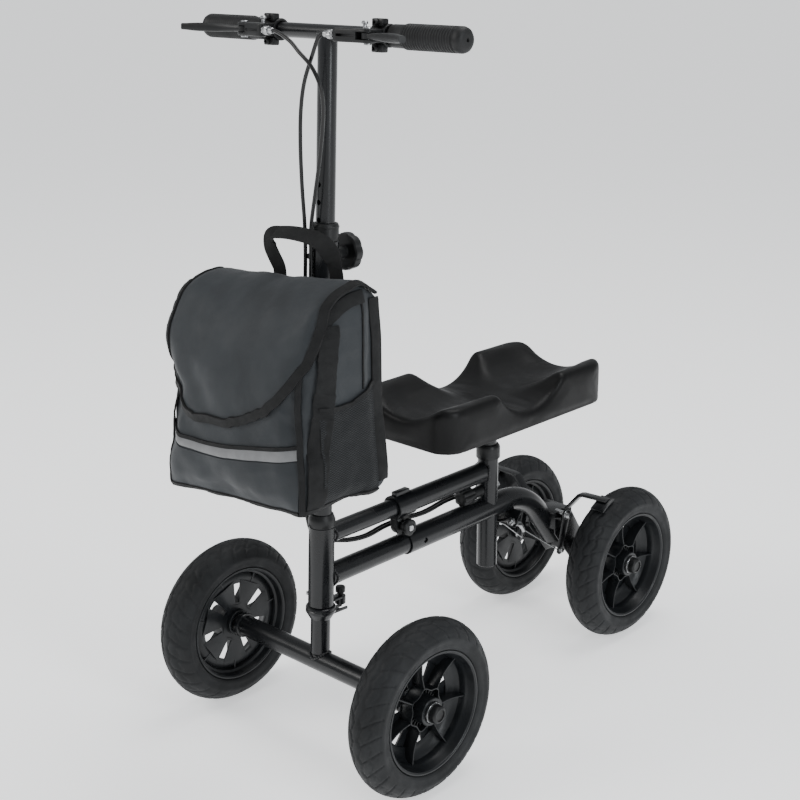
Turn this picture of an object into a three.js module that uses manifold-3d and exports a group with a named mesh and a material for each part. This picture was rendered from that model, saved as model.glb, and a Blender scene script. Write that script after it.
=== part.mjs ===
// Four-wheel steerable knee scooter.
// Millimetres. +X is the rider's left, -Y is the way it travels, +Z is up.
// The origin is on the floor under the middle of the object's box.
import * as THREE from 'three';
import { mergeVertices } from 'three/addons/utils/BufferGeometryUtils.js';
import Module from 'manifold-3d';

const wasm = await Module();
wasm.setup();

// ---------- driving dimensions ----------
const GAP = 0.3; // between pieces that touch on the real object
const WALL = 2; // of the steel tubes

const FRONT_AXLE_Y = -261;
const REAR_AXLE_Y = 291;
const FRONT_TRACK = 377; // between the front wheels' middle planes
const REAR_TRACK = 218;

const TYRE_R = 120.6;
const TYRE_SIDES = 36;
const TYRE_SEAT_R = 84;
const TYRE_HALF_WIDTH = 29.5;
const RIM_HALF_WIDTH = 19;
const SPOKES = 7;
const HUB_R = 19;
const HUB_HALF_WIDTH = 20;
const BEARING_R = 14;
const SHAFT_R = 6;
const CAP_R = 12.5;
const CAP_END = 34; // from the wheel's middle plane to the end of its cap
const WHEEL_Z = TYRE_R * Math.cos(Math.PI / TYRE_SIDES); // a flat of the tread is on the floor

const RAKE = 2.7 * Math.PI / 180; // the steering axis leans back
const FRONT_AXLE_R = 15;
const REAR_AXLE_R = 12;

const HEAD_TUBE_R = 17.5;
const HEAD_TUBE = [83, 197]; // heights are measured along the steering axis, from the front axle
const FORK_COLUMN_R = 13.5;
const FOLD_PIN = { back: 24, up: 345 };
const COLUMN_R = 16.5;
const COLUMN_TOP = 582;
const COLLAR_TOP = 605;
const KNOB_UP = 564;
const STEM_R = 12.4;
const STEM_BOTTOM = 505;
const BAR_UP = 838;
const BAR_R = 9.3;
const BAR_HALF = 222;
const GRIP = [112, 226]; // inner and outer end
const GRIP_R = 15.3;
const LEVER_AT = 95; // the lever clamp's middle
const LEVER_PIVOT = { out: 13, ahead: 40 }; // from the clamp's middle
const LOCK_PIN_BACK = 37;
const CABLE_R = 2.5;
const CABLE_X = (side) => -9 - side * 5; // in the clip on the column
const CABLE_BACK = -COLUMN_R - 4.5; // the cables run down the front of the column

const UPPER_TUBE_Z = 301.5;
const LOWER_TUBE_Z = 241;
const UPPER_FRONT_R = 13;
const LOWER_FRONT_R = 15;
const UPPER_REAR_R = 15;
const LOWER_REAR_R = 17.5;
const FRAME_JOINT_Y = -92; // where the front tubes enter the rear ones
const FRONT_TUBE_END_Y = -30;
const CLAMP_Z = 272.5; // the frame clamp's bolt, between the two frame tubes
const BRAKE_PIVOT = { x: 40, y: 238, z: 197 };
const CABLE_STOP = { x: 20, y: 121, z: 216, slope: 31 * Math.PI / 180, length: 34 };
const ARCH = { start: 128, radius: 110, angle: 52 * Math.PI / 180, tail: 92 };

const SEAT_TUBE = { y: 93, r: 15.5, bottom: 148, top: 322 };
const SEAT_POST_R = 12.7;
const KNOB_Z = 272.5; // the seat height knob
const PAD = { y: 84, z: 391, width: 180, length: 364, height: 63 };

const BAG = { width: 254, bottom: 398, top: 690, back: -262.5, lowerBack: -276, front: -411.1 };

// ---------- materials ----------
const paint = (color, roughness, metalness) => ({ color, roughness, metalness });
const LOOKS = {
  powder_coat: paint(0x17181a, 0.35, 0.4),
  moulded_black: paint(0x141415, 0.6, 0),
  rim_plastic: paint(0x1b1c1e, 0.5, 0),
  tyre_rubber: paint(0x242527, 0.85, 0),
  grip_rubber: paint(0x1d1e20, 0.8, 0),
  zinc_steel: paint(0xb4b7ba, 0.3, 1),
  pad_foam: paint(0x151516, 0.55, 0),
  bag_fabric: paint(0x33383d, 0.8, 0),
  webbing: paint(0x131415, 0.9, 0),
  cable_sheath: paint(0x101011, 0.5, 0),
};

// ---------- solids ----------
// One closed, welded mesh with its faces out and no slivers on the axis.
function weld(source) {
  const plain = new THREE.BufferGeometry();
  plain.setAttribute('position', source.getAttribute('position').clone());
  if (source.index) plain.setIndex(source.index.clone());
  const merged = mergeVertices(plain, 1e-3);
  const p = merged.getAttribute('position');
  const corners = [];
  let volume = 0;
  const [a, b, c] = [new THREE.Vector3(), new THREE.Vector3(), new THREE.Vector3()];
  for (let i = 0; i < merged.index.count; i += 3) {
    const t = [0, 1, 2].map((k) => merged.index.getX(i + k));
    if (t[0] === t[1] || t[1] === t[2] || t[2] === t[0]) continue;
    a.fromBufferAttribute(p, t[0]);
    b.fromBufferAttribute(p, t[1]);
    c.fromBufferAttribute(p, t[2]);
    volume += a.dot(b.cross(c));
    corners.push(t);
  }
  if (volume < 0) corners.forEach((t) => t.reverse());
  merged.setIndex(corners.flat());
  return merged;
}

function toManifold(geometry) {
  const solid = weld(geometry);
  return new wasm.Manifold(new wasm.Mesh({
    numProp: 3,
    vertProperties: new Float32Array(solid.getAttribute('position').array),
    triVerts: new Uint32Array(solid.index.array),
  }));
}

function toGeometry(manifold) {
  const mesh = manifold.getMesh();
  const geometry = new THREE.BufferGeometry();
  geometry.setAttribute('position', new THREE.Float32BufferAttribute(mesh.vertProperties, 3));
  geometry.setIndex([...mesh.triVerts]);
  return geometry;
}

const join = (...parts) => toGeometry(parts.map(toManifold).reduce((a, b) => a.add(b)));
const cut = (body, ...tools) => toGeometry(
  tools.map(toManifold).reduce((a, b) => a.subtract(b), toManifold(body)));

// A ring or a rod turned about Z, from pairs of [radius, height].
function turned(profile, sides = 24) {
  const points = profile.map(([r, z]) => new THREE.Vector2(r, z));
  return new THREE.LatheGeometry(points, sides).rotateX(Math.PI / 2);
}

function rod(r, z0, z1, sides = 24) {
  return turned([[0, z0], [r, z0], [r, z1], [0, z1]], sides);
}

function pipe(ro, ri, z0, z1, sides = 24) {
  return turned([[ri, z0], [ro, z0], [ro, z1], [ri, z1], [ri, z0]], sides);
}

function box(x0, x1, y0, y1, z0, z1) {
  const shape = new THREE.BoxGeometry(x1 - x0, y1 - y0, z1 - z0);
  return shape.translate((x0 + x1) / 2, (y0 + y1) / 2, (z0 + z1) / 2);
}

const alongX = (geometry) => geometry.rotateY(Math.PI / 2); // +Z becomes +X
const alongY = (geometry) => geometry.rotateX(-Math.PI / 2); // +Z becomes +Y

// A plate of the given [y, z] outline, between two X planes.
function plateYZ(outline, x0, x1) {
  const shape = new THREE.Shape(outline.map(([y, z]) => new THREE.Vector2(y, z)));
  const plate = new THREE.ExtrudeGeometry(shape, { depth: x1 - x0, bevelEnabled: false });
  return plate.rotateX(Math.PI / 2).rotateZ(Math.PI / 2).translate(x0, 0, 0);
}

// A plate of the given [x, y] outline, between two heights.
function plateXY(outline, z0, z1) {
  const shape = new THREE.Shape(outline.map(([x, y]) => new THREE.Vector2(x, y)));
  return new THREE.ExtrudeGeometry(shape, { depth: z1 - z0, bevelEnabled: false }).translate(0, 0, z0);
}

function roundedOutline(halfX, halfY, r, steps = 4) {
  const outline = [];
  const centres = [[1, 1], [-1, 1], [-1, -1], [1, -1]];
  centres.forEach(([sx, sy], quarter) => {
    for (let i = 0; i <= steps; i += 1) {
      const turn = (quarter + i / steps) * Math.PI / 2;
      outline.push([sx * (halfX - r) + r * Math.cos(turn), sy * (halfY - r) + r * Math.sin(turn)]);
    }
  });
  return outline;
}

// A round section of any radius, swept along a curve.
function swept(curve, r, sides, steps) {
  const shape = new THREE.Shape();
  for (let i = 0; i < sides; i += 1) {
    const turn = (i + 0.5) * 2 * Math.PI / sides;
    const at = [r * Math.cos(turn), r * Math.sin(turn)];
    if (i === 0) shape.moveTo(...at);
    else shape.lineTo(...at);
  }
  shape.closePath();
  return new THREE.ExtrudeGeometry(shape, { steps, extrudePath: curve, bevelEnabled: false });
}

// ---------- the scene ----------
const scooter = new THREE.Group();
const steering = new THREE.Group(); // its own Z is the steering axis, from the front axle up
steering.position.set(0, FRONT_AXLE_Y, WHEEL_Z);
steering.rotation.x = -RAKE;
scooter.add(steering);

function piece(name, look, geometry, parent = scooter) {
  const material = new THREE.MeshStandardMaterial(LOOKS[look]);
  const mesh = new THREE.Mesh(weld(geometry), material);
  mesh.name = name;
  parent.add(mesh);
  return mesh;
}

// The world point of a place given in the steering group's own frame.
function onSteering(x, back, up) {
  steering.updateMatrixWorld(true);
  return new THREE.Vector3(x, back, up).applyMatrix4(steering.matrixWorld);
}

// ---------- wheels ----------
// Each is made with its axis on Z and its outer face up, then laid on its axle.
function tyre() {
  const w = TYRE_HALF_WIDTH;
  const outer = [
    [TYRE_SEAT_R + GAP, RIM_HALF_WIDTH],
    [TYRE_SEAT_R + 4, w - 4],
    [TYRE_SEAT_R + 10, w],
    [TYRE_R - 16, w - 3],
    [TYRE_R - 6, w - 11],
    [TYRE_R, 9],
  ];
  const inner = [[TYRE_R - 9, 8], [TYRE_R - 18, w - 11], [TYRE_SEAT_R + 10, w - 7], [TYRE_SEAT_R + GAP, 13]];
  const far = (points) => points.map(([r, z]) => [r, -z]).reverse();
  return turned([...outer, ...far(outer), ...far(inner), ...inner, outer[0]], TYRE_SIDES);
}

function rim() {
  const ring = pipe(TYRE_SEAT_R, 72, -RIM_HALF_WIDTH, RIM_HALF_WIDTH, TYRE_SIDES);
  const hub = pipe(HUB_R, BEARING_R + GAP, -HUB_HALF_WIDTH, HUB_HALF_WIDTH, 20);
  const parts = [ring, hub];
  for (let i = 0; i < SPOKES; i += 1) {
    const outline = [[HUB_R - 3, -7], [76, -14], [76, 14], [HUB_R - 3, 7]];
    parts.push(plateXY(outline, -13, 13).rotateZ((i + 0.5) * 2 * Math.PI / SPOKES));
  }
  return join(...parts);
}

function wheelCap() {
  const face = HUB_HALF_WIDTH + GAP;
  return turned([
    [SHAFT_R + GAP, face], [CAP_R + 1, face], [CAP_R + 1, face + 5], [CAP_R, face + 6],
    [CAP_R, CAP_END - 2], [CAP_R - 2, CAP_END], [0, CAP_END], [0, CAP_END - 3],
    [SHAFT_R + GAP, CAP_END - 3], [SHAFT_R + GAP, face],
  ], 18);
}

function wheel(where, side, x, y) {
  const place = (geometry) => alongX(geometry).rotateZ(side > 0 ? 0 : Math.PI).translate(x, y, WHEEL_Z);
  const flatDown = Math.PI / TYRE_SIDES;
  piece(`tyre_${where}`, 'tyre_rubber', place(tyre().rotateZ(flatDown)));
  piece(`rim_${where}`, 'rim_plastic', place(rim().rotateZ(flatDown)));
  const bearing = pipe(BEARING_R, SHAFT_R + GAP, -HUB_HALF_WIDTH, HUB_HALF_WIDTH, 18);
  piece(`bearing_${where}`, 'zinc_steel', place(bearing));
  piece(`wheel_cap_${where}`, 'moulded_black', place(wheelCap()));
}

for (const [end, y, track] of [['front', FRONT_AXLE_Y, FRONT_TRACK], ['rear', REAR_AXLE_Y, REAR_TRACK]]) {
  wheel(`${end}_left`, 1, track / 2, y);
  wheel(`${end}_right`, -1, -track / 2, y);
}

// A tube with a shaft at each end that carries the wheels.
function axle(tubeR, track, flangeR) {
  const tubeEnd = track / 2 - HUB_HALF_WIDTH - 6;
  const shaftEnd = track / 2 + CAP_END - 3 - GAP;
  const half = [
    [0, shaftEnd], [SHAFT_R, shaftEnd], [SHAFT_R, tubeEnd + 5], [BEARING_R - 4, tubeEnd + 5],
    [BEARING_R - 4, tubeEnd], [flangeR, tubeEnd], [flangeR, tubeEnd - 8], [tubeR, tubeEnd - 8],
  ];
  const other = half.map(([r, z]) => [r, -z]).reverse();
  return alongX(turned([...half, ...other], 24));
}

// ---------- rear frame ----------
// The bent end of the lower rear tube: rings of a round section, one at each bend step.
function archTube(r) {
  const { start, radius, angle, tail } = ARCH;
  const stations = [[start - 12, LOWER_TUBE_Z, 0]];
  for (let i = 0; i <= 7; i += 1) {
    const turn = angle * i / 7;
    stations.push([start + radius * Math.sin(turn), LOWER_TUBE_Z - radius * (1 - Math.cos(turn)), turn]);
  }
  const [y, z] = stations[stations.length - 1];
  stations.push([y + tail * Math.cos(angle), z - tail * Math.sin(angle), angle]);
  const path = new THREE.CatmullRomCurve3(stations.map(([sy, sz]) => new THREE.Vector3(0, sy, sz)));
  path.getPoint = (t, target = new THREE.Vector3()) => {
    const s = t * (stations.length - 1);
    const i = Math.min(Math.floor(s), stations.length - 2);
    const [a, b] = [stations[i], stations[i + 1]];
    return target.set(0, a[0] + (b[0] - a[0]) * (s - i), a[1] + (b[1] - a[1]) * (s - i));
  };
  path.getPointAt = path.getPoint;
  path.getTangent = (t, target = new THREE.Vector3()) => {
    const s = t * (stations.length - 1);
    const i = Math.min(Math.floor(s), stations.length - 2);
    const turn = stations[i][2] + (stations[i + 1][2] - stations[i][2]) * (s - i);
    return target.set(0, Math.cos(turn), -Math.sin(turn));
  };
  path.getTangentAt = path.getTangent;
  return swept(path, r, 24, stations.length - 1);
}

// Lays a piece made along +Z into a cable stop's place, sloping down to the rear.
function inStop(geometry, side) {
  const { x, y, z, slope } = CABLE_STOP;
  return geometry.rotateX(-Math.PI / 2 - slope).translate(side * x, y, z);
}

function rearFrame() {
  const seatBore = rod(SEAT_TUBE.r + GAP, SEAT_TUBE.bottom - 10, SEAT_TUBE.top + 10)
    .translate(0, SEAT_TUBE.y, 0);
  const along = (geometry, z) => alongY(geometry).translate(0, 0, z);

  const stopPlate = inStop(box(-26 - CABLE_STOP.x, 26 - CABLE_STOP.x, -20, 7, 12, 15), 1);
  const lower = cut(
    join(
      along(rod(LOWER_REAR_R, FRAME_JOINT_Y, ARCH.start), LOWER_TUBE_Z),
      archTube(LOWER_REAR_R),
      stopPlate,
    ),
    ...[1, -1].map((side) => inStop(rod(4.6, 5, 25, 12), side)),
    along(rod(LOWER_FRONT_R + 0.4, FRAME_JOINT_Y - 5, SEAT_TUBE.y - 20), LOWER_TUBE_Z),
    seatBore,
    alongX(rod(4, 5, 40, 12)).translate(0, FRAME_JOINT_Y + 28, LOWER_TUBE_Z),
    alongX(rod(REAR_AXLE_R + GAP, -60, 60)).translate(0, REAR_AXLE_Y, WHEEL_Z),
  );
  piece('lower_rear_tube', 'powder_coat', lower);

  const clampEnd = FRAME_JOINT_Y - 24;
  const upper = cut(
    join(
      along(rod(UPPER_REAR_R, clampEnd, SEAT_TUBE.y), UPPER_TUBE_Z),
      along(rod(UPPER_REAR_R + 2.4, clampEnd, clampEnd + 36), UPPER_TUBE_Z),
    ),
    along(rod(UPPER_FRONT_R + 0.4, clampEnd - 5, SEAT_TUBE.y - 20), UPPER_TUBE_Z),
    seatBore,
  );
  piece('upper_rear_tube', 'powder_coat', upper);

  const seatTube = cut(
    pipe(SEAT_TUBE.r, SEAT_POST_R + 0.3, SEAT_TUBE.bottom, SEAT_TUBE.top),
    alongY(rod(3.3, -40, -8, 12)).translate(0, 0, KNOB_Z),
  ).translate(0, SEAT_TUBE.y, 0);
  piece('seat_tube', 'powder_coat', seatTube);

  const bush = pipe(SEAT_TUBE.r + 2.5, SEAT_POST_R + 0.3, SEAT_TUBE.top + GAP, SEAT_TUBE.top + 22);
  piece('seat_tube_bush', 'moulded_black', bush.translate(0, SEAT_TUBE.y, 0));
}

function cableStops() {
  for (const [name, side] of [['left', 1], ['right', -1]]) {
    const { length } = CABLE_STOP;
    const bore = CABLE_R + 0.6;
    const stop = join(
      turned([[bore, 0], [4.2, 0], [4.2, length - 2], [3.6, length], [bore, length], [bore, 0]], 12),
      cut(rod(6.5, 4, 9, 6), rod(bore + 0.4, 0, 20, 12)),
    );
    piece(`cable_stop_${name}`, 'zinc_steel', inStop(stop, side));
  }
}

function frameClamp() {
  const y = FRAME_JOINT_Y - 8;
  const roundEnd = CLAMP_Z - LOWER_TUBE_Z - LOWER_REAR_R - GAP;
  const block = cut(
    join(
      box(-6, 6, y - roundEnd, y + roundEnd, CLAMP_Z, UPPER_TUBE_Z - 8),
      alongX(rod(roundEnd, -6, 6, 20)).translate(0, y, CLAMP_Z),
    ),
    alongY(rod(UPPER_REAR_R + 2.4 + GAP, y - 30, y + 30)).translate(0, 0, UPPER_TUBE_Z),
    alongX(rod(3.4, -4, 30, 12)).translate(0, y, CLAMP_Z),
  );
  piece('frame_clamp', 'moulded_black', block);
  const knob = alongX(turned([
    [0, -3], [3, -3], [3, 6 + GAP], [8, 6 + GAP], [8, 12], [13, 13], [13, 21], [11, 23], [0, 23],
  ], 18));
  piece('frame_clamp_knob', 'moulded_black', knob.translate(0, y, CLAMP_Z));
}

// Sheet-metal bracket over the rear axle, with a lug each side for the brake arms.
function rearBracket() {
  const { y } = BRAKE_PIVOT;
  const z = BRAKE_PIVOT.z + 6;
  const side = [
    [y - 10, z + 4], [y + 40, z + 4], [REAR_AXLE_Y + 17, WHEEL_Z + 10],
    [REAR_AXLE_Y + 17, WHEEL_Z - 16], [REAR_AXLE_Y - 17, WHEEL_Z - 16], [y - 10, z - 40],
  ];
  const bracket = cut(
    join(
      plateYZ(side, 24, 27),
      plateYZ(side, -27, -24),
      box(-27, 27, y - 10, y + 40, z + 1, z + 4),
      box(-27, 27, y - 10, y - 7, z - 30, z + 4),
    ),
    archTube(LOWER_REAR_R + GAP),
    alongX(rod(REAR_AXLE_R + GAP, -60, 60)).translate(0, REAR_AXLE_Y, WHEEL_Z),
  );
  const pivot = turned([
    [0, 18], [4, 18], [4, BRAKE_PIVOT.x + 3], [8, BRAKE_PIVOT.x + 3], [8, BRAKE_PIVOT.x + 8],
    [0, BRAKE_PIVOT.x + 8],
  ], 12);
  const pivots = [1, -1].map((side) => alongX(pivot.clone()).scale(side, 1, 1)
    .translate(0, y, BRAKE_PIVOT.z));
  piece('rear_axle_bracket', 'powder_coat', join(bracket, ...pivots));
}

// A flat bar that turns on its pivot: a tail for the cable, a leg, a bar out to the wheel and a shoe.
function brakeArm(name, side) {
  const { x, y, z: pz } = BRAKE_PIVOT;
  const leg = [
    [y - 7, pz - 6], [y - 20, pz - 60], [y - 10, pz - 63], [y + 8, pz - 6], [y + 12, pz + 8],
    [y - 2, pz + 8],
  ];
  const end = REAR_TRACK / 2 + 6;
  const slant = [
    [x - 2, pz + 4], [x + 2, pz + 4], [x + 2, pz + 9], [x + 26, pz + 36.5], [end, pz + 39.5],
    [end, pz + 43.5], [x + 24, pz + 41], [x - 2, pz + 11],
  ];
  const bar = alongY(plateXY(slant.map(([px, height]) => [px, -height]), y - 2, y + 12));
  const shoe = cut(
    alongX(pipe(TYRE_R + 6.2, TYRE_R + 2.2, REAR_TRACK / 2 - 18, REAR_TRACK / 2 + 18, 48))
      .translate(0, REAR_AXLE_Y, WHEEL_Z),
    box(0, 200, REAR_AXLE_Y - 200, REAR_AXLE_Y + 200, -50, WHEEL_Z + 104),
    box(0, 200, y + 16, REAR_AXLE_Y + 200, -50, 400),
  );
  const arm = cut(
    join(plateYZ(leg, x - 2, x + 2), bar, shoe),
    alongX(rod(4.4, 0, 60, 16)).translate(0, y, pz),
  );
  if (side < 0) arm.scale(-1, 1, 1);
  piece(`brake_arm_${name}`, 'powder_coat', arm);
}

// ---------- seat ----------
function seat() {
  const { y, r } = SEAT_TUBE;
  const knob = alongY(turned([
    [0, -66], [12, -66], [13, -62], [13, -42], [8, -36], [8, -r - GAP], [3, -r - GAP], [3, -SEAT_POST_R - 0.6],
    [0, -SEAT_POST_R - 0.6],
  ], 16));
  piece('seat_height_knob', 'moulded_black', knob.translate(0, y, KNOB_Z));

  const post = pipe(SEAT_POST_R, SEAT_POST_R - WALL, SEAT_TUBE.bottom + 42, PAD.z - 6 - GAP);
  piece('seat_post', 'powder_coat', post.translate(0, y, 0));
  const plate = plateXY(roundedOutline(55, 95, 12, 2), PAD.z - 6, PAD.z - GAP);
  piece('seat_plate', 'powder_coat', plate.translate(0, PAD.y, 0));

  const { width, length, height } = PAD;
  const block = plateXY(roundedOutline(width / 2, length / 2, 30), PAD.z, PAD.z + height);
  const channel = alongY(rod(95, -length, length, 40)).translate(0, 0, PAD.z + 32 + 95);
  const valley = alongX(rod(85, -width, width, 40)).translate(0, 0, PAD.z + 26 + 85);
  piece('seat_pad', 'pad_foam', cut(block, channel, valley).translate(0, PAD.y, 0));
}

// ---------- front frame ----------
function frontFrame() {
  const [bottom, top] = HEAD_TUBE;
  const bracket = join(
    box(-7, 7, HEAD_TUBE_R - 4, LOCK_PIN_BACK, bottom, bottom + 3),
    rod(7.5, bottom - 9, bottom + 3, 14).translate(0, LOCK_PIN_BACK, 0),
  );
  const tube = cut(
    join(pipe(HEAD_TUBE_R, FORK_COLUMN_R + 0.6, bottom, top), bracket),
    rod(3.3, bottom - 20, bottom + 30, 12).translate(0, LOCK_PIN_BACK, 0),
    rod(FORK_COLUMN_R + 0.6, bottom - 5, top + 5),
  );
  piece('head_tube', 'powder_coat', tube, steering);
  const pin = turned([
    [0, bottom - 12.6], [3, bottom - 12.6], [3, bottom + 7.5], [6.5, bottom + 7.5],
    [6.5, bottom + 14], [5, bottom + 16], [0, bottom + 16],
  ], 14).translate(0, LOCK_PIN_BACK, 0);
  piece('steering_lock_pin', 'moulded_black', pin, steering);

  const headCutter = rod(HEAD_TUBE_R + GAP, bottom - 40, top + 60)
    .rotateX(-RAKE).translate(0, FRONT_AXLE_Y, WHEEL_Z);
  const tubes = [['upper', UPPER_TUBE_Z, UPPER_FRONT_R], ['lower', LOWER_TUBE_Z, LOWER_FRONT_R]];
  for (const [name, z, r] of tubes) {
    const tube1 = alongY(pipe(r, r - WALL, FRONT_AXLE_Y + 5, FRONT_TUBE_END_Y)).translate(0, 0, z);
    piece(`${name}_front_tube`, 'powder_coat', cut(tube1, headCutter));
  }
}

// ---------- steered parts ----------
function steeredParts() {
  const [bottom, top] = HEAD_TUBE;
  const axleCutter = alongX(rod(FRONT_AXLE_R + GAP, -60, 60));
  const column = cut(pipe(FORK_COLUMN_R, FORK_COLUMN_R - WALL, 4, FOLD_PIN.up - 2), axleCutter);
  piece('fork_column', 'powder_coat', column, steering);
  const lug = cut(
    join(
      turned([
        [FORK_COLUMN_R + GAP, bottom - 18], [15.5, bottom - 18], [20.5, bottom - 10],
        [20.5, bottom - 5], [18.5, bottom - GAP], [FORK_COLUMN_R + GAP, bottom - GAP],
        [FORK_COLUMN_R + GAP, bottom - 18],
      ]),
      box(-7, 7, 15, LOCK_PIN_BACK + 8, bottom - 18, bottom - 14),
    ),
    box(-4, 4, LOCK_PIN_BACK - 4.4, LOCK_PIN_BACK + 12, bottom - 30, bottom - GAP), // the pin's notch
  );
  piece('lower_bearing_ring', 'powder_coat', lug, steering);
  const upperRing = turned([
    [FORK_COLUMN_R + GAP, top + GAP], [HEAD_TUBE_R, top + GAP], [HEAD_TUBE_R + 0.8, top + 4],
    [HEAD_TUBE_R + 0.8, top + 12], [16, top + 18], [FORK_COLUMN_R + GAP, top + 18],
    [FORK_COLUMN_R + GAP, top + GAP],
  ]);
  piece('upper_bearing_ring', 'moulded_black', upperRing, steering);
  piece('front_axle', 'powder_coat',
    axle(FRONT_AXLE_R, FRONT_TRACK, 18).translate(0, FRONT_AXLE_Y, WHEEL_Z));
}

// ---------- fold joint, behind the bag ----------
function foldJoint() {
  const { back, up } = FOLD_PIN;
  const ear = [[4, up - 34], [back + 9, up - 12], [back + 9, up + 5], [back - 8, up + 8], [4, up - 8]];
  const pin = alongX(turned([[0, -23], [7, -23], [7, -16], [4, -16], [4, 16], [7, 16], [7, 23], [0, 23]], 14));
  const stud = alongX(turned([[0, 15], [3, 15], [3, 26.4], [6, 26.4], [6, 29], [0, 29]], 12));
  const lower = join(
    cut(
      join(rod(19, up - 34, up - 12), plateYZ(ear, 14.6, 19), plateYZ(ear, -19, -14.6)),
      rod(FORK_COLUMN_R + GAP, up - 60, up + 20),
    ),
    pin.translate(0, back, up),
    stud.translate(0, -1, up - 20),
  );
  piece('fold_bracket_lower', 'powder_coat', lower, steering);
  const tongue = [[2, up + 8], [back - 8, up - 2], [back, up - 8], [back + 8, up - 2], [8, up + 30]];
  const upper = cut(
    join(rod(19, up + 10, up + 30), plateYZ(tongue, -14, 14)),
    rod(COLUMN_R + GAP, up - 20, up + 60),
    alongX(rod(4.3, -40, 40, 14)).translate(0, back, up),
  );
  piece('fold_bracket_upper', 'powder_coat', upper, steering);
  const handle = cut(
    plateYZ([[-8, up - 14], [-10, up - 78], [2, up - 82], [8, up - 20], [4, up - 12]], 20, 26),
    alongX(rod(3.4, 0, 40, 12)).translate(0, -1, up - 20),
  );
  piece('fold_lever', 'moulded_black', handle, steering);
}

// ---------- upper column, handlebar and controls ----------
function upperColumn() {
  const clip = box(-19, 1, -COLUMN_R - 9, -COLUMN_R + 6, 526, 534); // holds both cables
  const column = cut(
    join(pipe(COLUMN_R, STEM_R + 0.3, FOLD_PIN.up + 1.5, COLUMN_TOP), clip),
    rod(STEM_R + 0.3, FOLD_PIN.up, COLUMN_TOP + 10),
    alongY(rod(3.4, 8, 30, 12)).translate(0, 0, KNOB_UP),
    ...[-1, 1].map((s) => rod(CABLE_R + 0.4, 500, 560, 12).translate(CABLE_X(s), CABLE_BACK, 0)),
  );
  piece('outer_column', 'powder_coat', column, steering);
  const collar = turned([
    [STEM_R + GAP, COLUMN_TOP + GAP], [COLUMN_R + 0.5, COLUMN_TOP + GAP],
    [COLUMN_R + 0.5, COLLAR_TOP - 3], [COLUMN_R - 1, COLLAR_TOP], [STEM_R + GAP, COLLAR_TOP],
    [STEM_R + GAP, COLUMN_TOP + GAP],
  ]);
  piece('height_collar', 'moulded_black', collar, steering);
  const lobes = [];
  const count = 8;
  for (let i = 0; i < count * 3; i += 1) {
    const turn = i * 2 * Math.PI / (count * 3);
    const r = 24 + Math.cos(count * turn);
    lobes.push([r * Math.cos(turn), r * Math.sin(turn)]);
  }
  const knob = join(
    plateXY(lobes, 32, 47),
    rod(9, COLUMN_R + GAP, 33, 16),
    rod(3, STEM_R + 0.6, 20, 12),
  );
  piece('height_knob', 'moulded_black', alongY(knob).translate(0, 0, KNOB_UP), steering);
}

function handlebar() {
  const bar = cut(
    join(
      rod(STEM_R, STEM_BOTTOM, BAR_UP),
      alongX(rod(BAR_R, -BAR_HALF, BAR_HALF)).translate(0, 0, BAR_UP),
    ),
    rod(STEM_R - WALL, STEM_BOTTOM - 5, BAR_UP - BAR_R),
    alongX(rod(BAR_R - WALL, -BAR_HALF - 5, BAR_HALF + 5)).translate(0, 0, BAR_UP),
  );
  piece('handlebar', 'powder_coat', bar, steering);
  for (const [name, side] of [['left', 1], ['right', -1]]) {
    const [inner, outer] = GRIP;
    const grip = turned([
      [BAR_R + GAP, inner], [13.5, inner], [13.5, inner + 20], [GRIP_R, inner + 22],
      [GRIP_R, outer - 8], [GRIP_R - 5, outer], [0, outer], [0, BAR_HALF + GAP],
      [BAR_R + GAP, BAR_HALF + GAP], [BAR_R + GAP, inner],
    ], 20);
    const mirrored = (geometry) => geometry.scale(side, 1, 1).translate(0, 0, BAR_UP);
    piece(`grip_${name}`, 'grip_rubber', mirrored(alongX(grip)), steering);
    piece(`lever_bracket_${name}`, 'moulded_black', mirrored(leverBracket()), steering);
    piece(`brake_lever_${name}`, 'moulded_black', mirrored(leverBlade()), steering);
  }
}

function leverBracket() {
  const x = LEVER_AT;
  const { out, ahead } = LEVER_PIVOT;
  const ring = alongX(rod(13.5, x - 12, x + 12, 20));
  const lugs = box(x - 9, x + 9, -13, 2, -19, 19);
  const arm = [[x - 9, -10], [x + 9, -10], [x + out + 7, -ahead + 6], [x + out + 7, -ahead - 7],
    [x - 30, -ahead - 14], [x - 30, -ahead - 4], [x - 12, -ahead + 8]];
  const barrel = alongX(rod(5, x - 50, x - 28, 14)).translate(0, -ahead - 9, 0);
  return cut(
    join(ring, lugs, plateXY(arm, -8, 8), barrel),
    alongX(rod(BAR_R + GAP, x - 30, x + 30, 24)),
    box(x + out - 11, x + out + 30, -ahead - 30, -ahead + 10, -4.3, 4.3),
    rod(2.8, -30, 30, 12).translate(x + out, -ahead, 0),
    alongX(rod(CABLE_R + GAP, x - 60, x - 36, 12)).translate(0, -ahead - 9, 0),
  );
}

function leverBlade() {
  const { out, ahead } = LEVER_PIVOT;
  const outline = [[-8, -3], [-4, -7], [10, -8], [84, -37], [90, -34], [88, -29], [30, -4], [6, 6], [-4, 6]];
  const blade = plateXY(outline, -4, 4).translate(LEVER_AT + out, -ahead, 0);
  return cut(blade, rod(2.8, -30, 30, 12).translate(LEVER_AT + out, -ahead, 0));
}

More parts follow.
